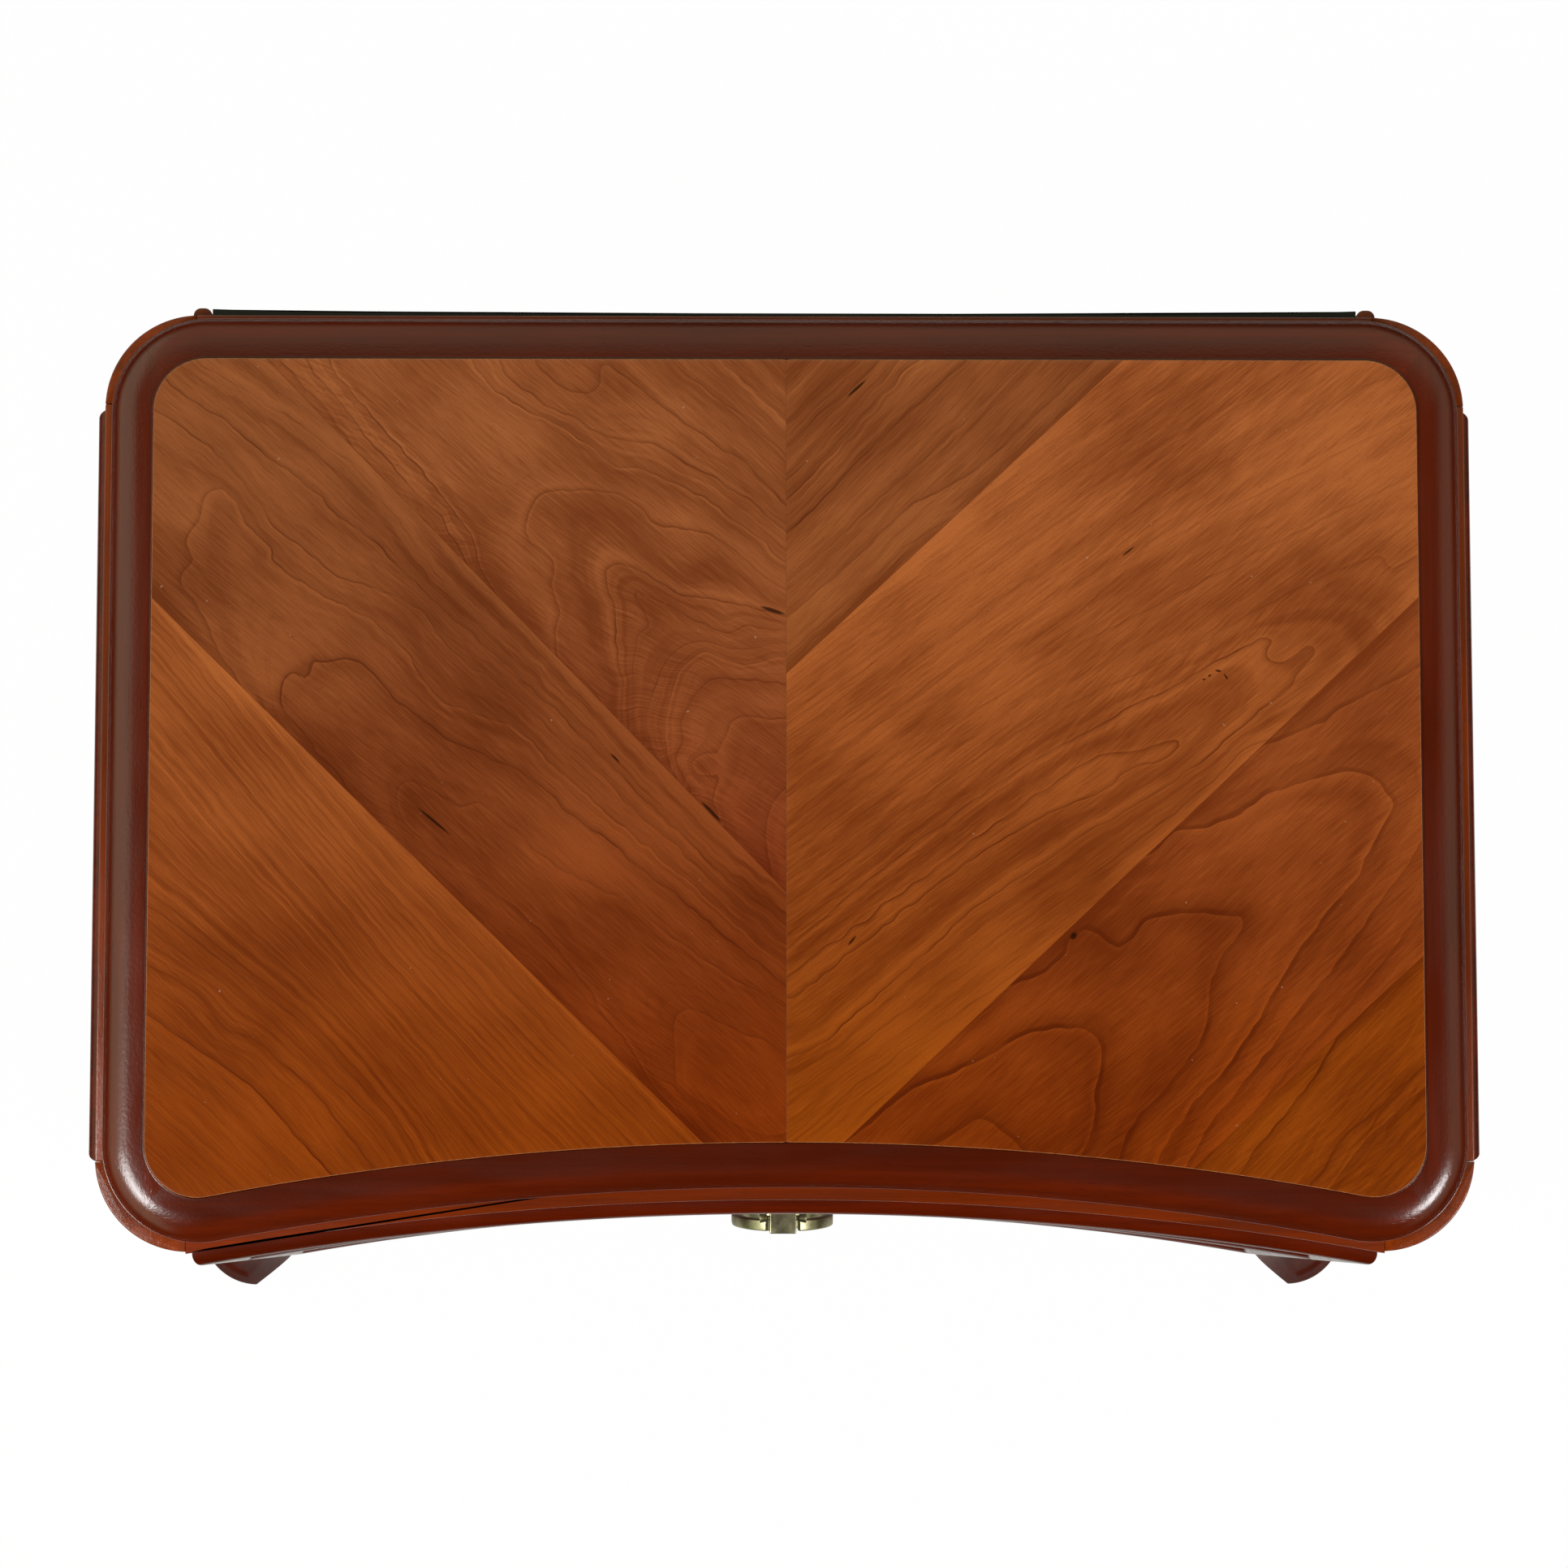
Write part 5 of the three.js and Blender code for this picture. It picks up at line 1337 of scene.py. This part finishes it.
def foot_rows(end, side, sink, stile):
    """A quarter-round section that swings out and thins towards the toe, with a sunk panel in its round
    face. At share s of its height, centre and radius have moved by s^1.7 from the post to the toe."""
    s = np.linspace(0, 1, FOOT_ROWS)
    flare = s**FLARE_POWER
    low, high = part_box(f"foot_{end}_right")
    radius = FOOT_TOP_RADIUS + (TOE_RADIUS - FOOT_TOP_RADIUS) * flare
    x = POST_INNER + (OVERALL_HALF_WIDTH - TOE_RADIUS - POST_INNER) * flare
    if end == "front":
        y = FRONT_POST_BACK + (TOE_RADIUS - OVERALL_HALF_DEPTH - FRONT_POST_BACK) * flare
    else:
        y = OVERALL_HALF_DEPTH - radius
    z = high.z + (low.z - high.z) * s
    angle = np.linspace(0, np.pi / 2, FOOT_COLUMNS)
    rise = -1 if end == "front" else 1
    arc = radius[:, None] * angle[None]
    from_sides = np.minimum(arc, radius[:, None] * (np.pi / 2) - arc)
    width = (stile * (1 - STILE_TAPER_SHARE * s))[:, None]
    height = np.broadcast_to((z - low.z)[:, None], arc.shape)
    below_top = np.broadcast_to((high.z - z)[:, None], arc.shape)
    inside = np.minimum.reduce([from_sides - width, height - PANEL_ABOVE_TOE, below_top - PANEL_BELOW_TOP])
    depth = sink * smooth_step(inside / PANEL_SLOPE)
    depth = depth - PANEL_BEAD_RISE * np.exp(-(((inside + PANEL_BEAD_PLACE) / PANEL_BEAD_WIDTH) ** 2))
    depth = depth + rounded_off(from_sides, FOOT_EDGE_ROUND) + rounded_off(height, TOE_ROUND)
    reach = radius[:, None] - np.maximum(depth, 0)
    px = x[:, None] + reach * np.cos(angle)
    py = y[:, None] + rise * reach * np.sin(angle)
    corner = np.stack([x, y], 1)[:, None]
    flat = np.concatenate([corner, np.stack([px, py], -1)], 1) * [side, 1]
    level = np.broadcast_to(z[:, None, None], flat.shape[:2] + (1,))
    return np.concatenate([flat, level], -1)


def smooth_step(t):
    """3t² - 2t³ between 0 and 1."""
    t = np.clip(t, 0, 1)
    return t * t * (3 - 2 * t)


def rounded_off(distance, radius):
    """How far a face falls back within the radius of an edge: r - √(r² - (r - d)²)."""
    d = np.clip(radius - distance, 0, radius)
    return radius - np.sqrt(radius**2 - d**2)


class NIGHTSTAND_OT_feet(Operator):
    """Shape the four splayed feet and their glides"""

    bl_idname = "nightstand.feet"
    bl_label = "Feet and glides"

    def execute(self, context):
        sizes = context.scene.nightstand_sizes
        for end in ("front", "rear"):
            for hand, side in (("left", -1), ("right", 1)):
                rows = foot_rows(end, side, sizes.foot_sink, sizes.foot_stile)
                made(f"foot_{end}_{hand}", [lofted(rows)], "panel_wood", "z", 45, "shaded_foot_wood")
                node = f"glide_{end}_{hand}"
                low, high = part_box(node)
                radius, middle = (high.x - low.x) / 2, (low + high) / 2
                turn = np.linspace(0, np.pi / 2, 7)
                across = radius * (GLIDE_SOLE_SHARE + (1 - GLIDE_SOLE_SHARE) * np.sin(turn))
                dome = np.stack([across, GLIDE_DOME * (1 - np.cos(turn))], 1)
                centre = GLIDE_CENTRE_SHARE * radius
                profile = np.concatenate([[[centre, 0]], dome, [[radius, high.z], [centre, high.z]]])
                made(node, [turned(profile, "z", (middle.x, middle.y, 0))], "glide_plastic")
        return {"FINISHED"}


# Drawers


class NIGHTSTAND_OT_drawer_fronts(Operator):
    """Shape the two concave drawer fronts with their raised beads"""

    bl_idname = "nightstand.drawer_fronts"
    bl_label = "Drawer fronts"

    def execute(self, context):
        sizes = context.scene.nightstand_sizes
        for level in ("upper", "lower"):
            node = f"{level}_drawer_front"
            low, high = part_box(node)
            x = bead_lines(low.x, high.x, sizes.bead_width, 60)
            z = bead_lines(low.z, high.z, sizes.bead_width, 12)
            grid_x, grid_z = np.meshgrid(x, z)
            edges = [grid_x - low.x, high.x - grid_x, grid_z - low.z, high.z - grid_z]
            rise = bead_rise(np.minimum.reduce(edges), sizes.bead_width, sizes.bead_rise)
            face = np.stack([grid_x, CASE.front_y(grid_x) - rise, grid_z], -1)
            back = np.stack([grid_x, CASE.front_y(grid_x, FRONT_THICKNESS), grid_z], -1)
            made(node, [slab(face, back)], "panel_wood", "x")
        return {"FINISHED"}


def follow_front(shell, end):
    """Points shifted along y so that the piece starts at the back of the concave drawer front."""
    points, faces = shell
    start = points[..., 1].min()
    target = CASE.front_y(points[..., 0], FRONT_THICKNESS + BOX_GAP)
    points[..., 1] += (target - start) * (end - points[..., 1]) / (end - start)
    return points, faces


class NIGHTSTAND_OT_drawer_boxes(Operator):
    """Make the sides, bottom and back of both drawer boxes"""

    bl_idname = "nightstand.drawer_boxes"
    bl_label = "Drawer boxes"

    def execute(self, context):
        rounding = context.scene.nightstand_sizes.box_round
        for level in ("upper", "lower"):
            bottom_low, bottom_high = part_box(f"{level}_drawer_bottom")
            for hand, side in (("left", -1), ("right", 1)):
                node = f"{level}_drawer_side_{hand}"
                low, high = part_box(node)
                outer, inner = max(abs(low.x), abs(high.x)), min(abs(low.x), abs(high.x))
                groove = inner + GROOVE_DEPTH
                z0, z1 = bottom_low.z - BOX_GAP, bottom_high.z + BOX_GAP
                section = np.array([
                    (outer, low.z), (outer, high.z), (inner, high.z), (inner, z1),
                    (groove, z1), (groove, z0), (inner, z0), (inner, low.z),
                ]) * [side, 1]
                blank = prism(section, low.y, high.y, SIDE_END_ROUND, "y", rounding, 3, 30)
                made(node, [follow_front(blank, high.y)], "inner_wood", "y")
            x = np.linspace(bottom_low.x, bottom_high.x, 41)
            edge = np.stack([x, CASE.front_y(x, FRONT_THICKNESS + BOX_GAP)], 1)
            rear = [[bottom_high.x, bottom_high.y], [bottom_low.x, bottom_high.y]]
            outline = np.concatenate([edge, rear])
            sheet = prism(outline, bottom_low.z, bottom_high.z, BOTTOM_ROUND, "z", HIDDEN_ROUND)
            made(f"{level}_drawer_bottom", [sheet], "inner_wood", "x")
            made_board(f"{level}_drawer_back", "inner_wood", "x", rounding)
        return {"FINISHED"}


# Pulls


def rounded_rod(radius, low, high, rounding):
    """Profile of a rod with rounded ends, from low to high."""
    turn = np.linspace(0, np.pi / 2, 5)
    start = np.stack([radius - rounding * (1 - np.sin(turn)), low + rounding * (1 - np.cos(turn))], 1)
    end = start[::-1] * [1, -1] + [0, low + high]
    centre = ROD_CENTRE_SHARE * radius
    return np.concatenate([[[centre, low]], start, end, [[centre, high]]])


def ring_shells(pin_y, pin_z):
    """The ring: a soft rectangle carried round most of a circle, with two short knuckles on the pin."""
    mean = RING_RADIUS - RING_THICKNESS / 2
    drop = math.sqrt(mean**2 - RING_END**2)
    open_angle = math.asin(RING_END / mean)
    mass_drop = drop + mean * math.sin(open_angle) / (math.pi - open_angle)
    lean = math.atan2(KNUCKLE_SET, mass_drop)
    half_t, half_w = RING_THICKNESS / 2, RING_WIDTH / 2
    corners = [(-half_t, -half_w), (half_t, -half_w), (half_t, half_w), (-half_t, half_w)]
    section = soft_corners(corners, RING_EDGE, 5)
    angle = np.linspace(np.pi / 2 + open_angle, 2.5 * np.pi - open_angle, 97)
    reach = mean + section[:, 0]
    x = reach[None] * np.cos(angle)[:, None]
    z = reach[None] * np.sin(angle)[:, None] - drop
    y = np.broadcast_to(section[:, 1] - KNUCKLE_SET, x.shape)
    ring = np.stack([x, y, z], -1)
    turned_y = ring[..., 1] * math.cos(lean) - ring[..., 2] * math.sin(lean)
    turned_z = ring[..., 1] * math.sin(lean) + ring[..., 2] * math.cos(lean)
    ring = np.stack([ring[..., 0], turned_y + pin_y, turned_z + pin_z], -1)
    knuckles = [
        turned(rounded_rod(KNUCKLE_RADIUS, 0, KNUCKLE_LENGTH, KNUCKLE_ROUND), "x", (start, pin_y, pin_z))
        for start in (RING_END, -RING_END - KNUCKLE_LENGTH)
    ]
    return [lofted(ring), *knuckles]


class NIGHTSTAND_OT_pulls(Operator):
    """Make the plate, block, pin, ring and screw of both ring pulls"""

    bl_idname = "nightstand.pulls"
    bl_label = "Ring pulls"

    def execute(self, context):
        for level in ("upper", "lower"):
            low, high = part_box(f"{level}_pull_plate")
            plate = prism(box_outline(low, high, "y"), low.y, high.y, PLATE_EDGE, "y", PLATE_CORNER, 5)
            made(f"{level}_pull_plate", [plate], "aged_brass", "x")
            low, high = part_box(f"{level}_pull_block")
            block = prism(box_outline(low, high, "y"), low.y, high.y, BLOCK_EDGE, "y", BLOCK_CORNER, 4)
            made(f"{level}_pull_block", [block], "aged_brass", "z")
            low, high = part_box(f"{level}_pull_pin")
            pin_y, pin_z = (low.y + high.y) / 2, (low.z + high.z) / 2
            rod = rounded_rod(PIN_RADIUS, low.x, high.x + PIN_ROUND, PIN_ROUND)
            pin = turned(rod, "x", (0, pin_y, pin_z))
            made(f"{level}_pull_pin", [pin], "aged_brass", "x")
            made(f"{level}_pull_ring", ring_shells(pin_y, pin_z), "aged_brass", "x", 50)
            low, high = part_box(f"{level}_pull_screw")
            middle = ((low.x + high.x) / 2, 0, (low.z + high.z) / 2)
            seat = high.y - SCREW_HEAD
            turn = np.linspace(0, np.pi / 2, 8)
            rise = seat + SCREW_HEAD_EDGE + (SCREW_HEAD - SCREW_HEAD_EDGE) * np.sin(turn)
            dome = np.stack([SCREW_HEAD_RADIUS * np.cos(turn) + ON_AXIS, rise], 1)
            shank = [
                [ON_AXIS, low.y], [SCREW_POINT_RADIUS, low.y], [SCREW_RADIUS, low.y + SCREW_POINT],
                [SCREW_RADIUS, seat], [SCREW_HEAD_RADIUS, seat],
            ]
            profile = np.concatenate([shank, dome])
            made(f"{level}_pull_screw", [turned(profile, "y", middle)], "screw_steel")
        return {"FINISHED"}


class NIGHTSTAND_OT_carcass(Operator):
    """Give the pieces inside the case their finishes"""

    bl_idname = "nightstand.carcass"
    bl_label = "Inside of the case"

    def execute(self, context):
        rows = {"top_core": ("core_board", "x"), "bottom_panel": ("inner_wood", "x")}
        for hand in ("left", "right"):
            rows[f"kicker_{hand}"] = ("inner_wood", "y")
            for level in ("upper", "lower"):
                rows[f"runner_{level}_{hand}"] = ("inner_wood", "y")
        for node, (slot, grain) in rows.items():
            for material_slot in frame["nodes"][node].material_slots:
                material_slot.material = finish(slot, grain)
        return {"FINISHED"}


# Studio


def soft_lamp(name, place, target, width, height, power):
    """A rectangular lamp that faces the target and that the camera doesn't see."""
    light = bpy.data.lights.new(name, "AREA")
    light.shape = "RECTANGLE"
    light.size, light.size_y = width, height
    light.energy = power
    lamp = bpy.data.objects.new(name, light)
    lamp.location = place
    way = np.array(target) - np.array(place)
    flat = math.hypot(way[0], way[1])
    lamp.rotation_euler = (math.atan2(flat, -way[2]), 0, math.atan2(way[1], way[0]) - math.pi / 2)
    lamp.visible_camera = False
    bpy.context.scene.collection.objects.link(lamp)


def pale_floor(glow):
    """White floor. The glow is the share of its own white that the camera sees, and the rest is lit, so that
    it keeps a soft shadow. Reflections show less of its own white."""
    turn = np.linspace(0, 2 * np.pi, FLOOR_SIDES, endpoint=False)
    points = FLOOR_RADIUS * np.stack([np.cos(turn), np.sin(turn), np.zeros(FLOOR_SIDES)], 1)
    mesh = bpy.data.meshes.new("floor")
    mesh.from_pydata(points, [], [tuple(range(FLOOR_SIDES))])
    floor = bpy.data.objects.new("floor", mesh)
    bpy.context.scene.collection.objects.link(floor)
    f = Finish("floor_white")
    lit = f.node("BsdfDiffuse", {"Color": FLOOR_COLOUR})
    white = f.node("Emission", {"Color": WHITE, "Strength": 1.0})
    path = f.node("LightPath").outputs
    mirrored = f.math("MULTIPLY", path["Is Glossy Ray"], FLOOR_MIRROR_SHARE)
    direct = f.math("MAXIMUM", path["Is Camera Ray"], path["Is Transmission Ray"])
    seen = f.math("MAXIMUM", direct, mirrored)
    part = f.math("MULTIPLY", seen, glow)
    mixed = f.node("MixShader", {0: part, 1: lit.outputs[0], 2: white.outputs[0]})
    f.node("OutputMaterial", {"Surface": mixed.outputs[0]})
    mesh.materials.append(f.material)


def room_light(level):
    """A pale wall at the left and, half as bright, one at the right and one behind. They fade out towards
    the floor and the front, and the camera sees plain white instead. The level is the strength of their light
    on the pieces, and reflections show them at full strength at least."""
    world = bpy.data.worlds.new("room")
    world.use_nodes = True
    bpy.context.scene.world = world
    f = Nodes(world.node_tree)
    way = f.node("TexCoord").outputs["Generated"]
    parts = f.node("SeparateXYZ", {0: way}).outputs
    right = f.math("MULTIPLY", f.span(parts[0], 0.4, 0.7), OTHER_WALLS_SHARE)
    left = f.span(parts[0], -0.55, -0.28, 1.0, 0.0)
    back = f.math("MULTIPLY", f.span(parts[1], 0.15, 0.45), OTHER_WALLS_SHARE)
    raised = f.span(parts[2], -0.1, 0.35)
    wall = f.math("MULTIPLY", f.math("MAXIMUM", f.math("MAXIMUM", right, left), back), raised)
    strength = f.math("ADD", wall, ROOM_DIM)
    path = f.node("LightPath").outputs
    strength = f.math("MULTIPLY", strength, f.math("MAXIMUM", path["Is Glossy Ray"], level))
    lit = f.node("Background", {"Color": WALL_COLOUR, "Strength": strength})
    white = f.node("Background", {"Color": WHITE, "Strength": 1.0})
    seen = f.math("MAXIMUM", path["Is Camera Ray"], path["Is Transmission Ray"])
    mixed = f.node("MixShader", {0: seen, 1: lit.outputs[0], 2: white.outputs[0]})
    f.node("OutputWorld", {"Surface": mixed.outputs[0]})


class NIGHTSTAND_OT_studio(Operator):
    """Set the floor, the lamps, the room and the camera"""

    bl_idname = "nightstand.studio"
    bl_label = "Studio"

    def execute(self, context):
        scene = context.scene
        studio = scene.nightstand_studio
        pale_floor(studio.floor_glow)
        room_light(studio.surround)
        for name, place, size in LAMPS:
            width, power = studio.lamp_width * size, studio.lamp_power * size
            soft_lamp(name, place, LAMP_TARGET, width, studio.lamp_height, power)
        camera = bpy.data.cameras.new("camera")
        camera.sensor_width = SENSOR_WIDTH
        camera.lens = studio.lens
        camera.clip_end = CAMERA_REACH
        view = bpy.data.objects.new("camera", camera)
        view.location = CAMERA_PLACE
        view.rotation_euler = CAMERA_TURN
        scene.collection.objects.link(view)
        scene.camera = view
        scene.view_settings.view_transform = "Standard"
        return {"FINISHED"}


STEPS = (
    NIGHTSTAND_OT_studio,
    NIGHTSTAND_OT_veneer,
    NIGHTSTAND_OT_rim,
    NIGHTSTAND_OT_posts,
    NIGHTSTAND_OT_rails,
    NIGHTSTAND_OT_side_panels,
    NIGHTSTAND_OT_back,
    NIGHTSTAND_OT_feet,
    NIGHTSTAND_OT_drawer_fronts,
    NIGHTSTAND_OT_drawer_boxes,
    NIGHTSTAND_OT_pulls,
    NIGHTSTAND_OT_carcass,
)


class NIGHTSTAND_PT_sidebar(Panel):
    """Buttons for each group of pieces, with their sizes and colours"""

    bl_label = "Nightstand"
    bl_space_type = "VIEW_3D"
    bl_region_type = "UI"
    bl_category = "Nightstand"

    def draw(self, context):
        for step in STEPS:
            self.layout.operator(step.bl_idname)
        for group in (
            context.scene.nightstand_sizes,
            context.scene.nightstand_colours,
            context.scene.nightstand_studio,
        ):
            for name in group.__annotations__:
                self.layout.prop(group, name)


GROUPS = (
    ("nightstand_sizes", NightstandSizes),
    ("nightstand_colours", NightstandColours),
    ("nightstand_studio", NightstandStudio),
)


def register():
    for name, group in GROUPS:
        bpy.utils.register_class(group)
        setattr(bpy.types.Scene, name, PointerProperty(type=group))
    for step in (*STEPS, NIGHTSTAND_PT_sidebar):
        bpy.utils.register_class(step)


def unregister():
    for step in reversed((*STEPS, NIGHTSTAND_PT_sidebar)):
        bpy.utils.unregister_class(step)
    for name, group in reversed(GROUPS):
        delattr(bpy.types.Scene, name)
        bpy.utils.unregister_class(group)


def main():
    register()
    for step in STEPS:
        group, name = step.bl_idname.split(".")
        getattr(getattr(bpy.ops, group), name)()


if __name__ == "__main__":
    main()
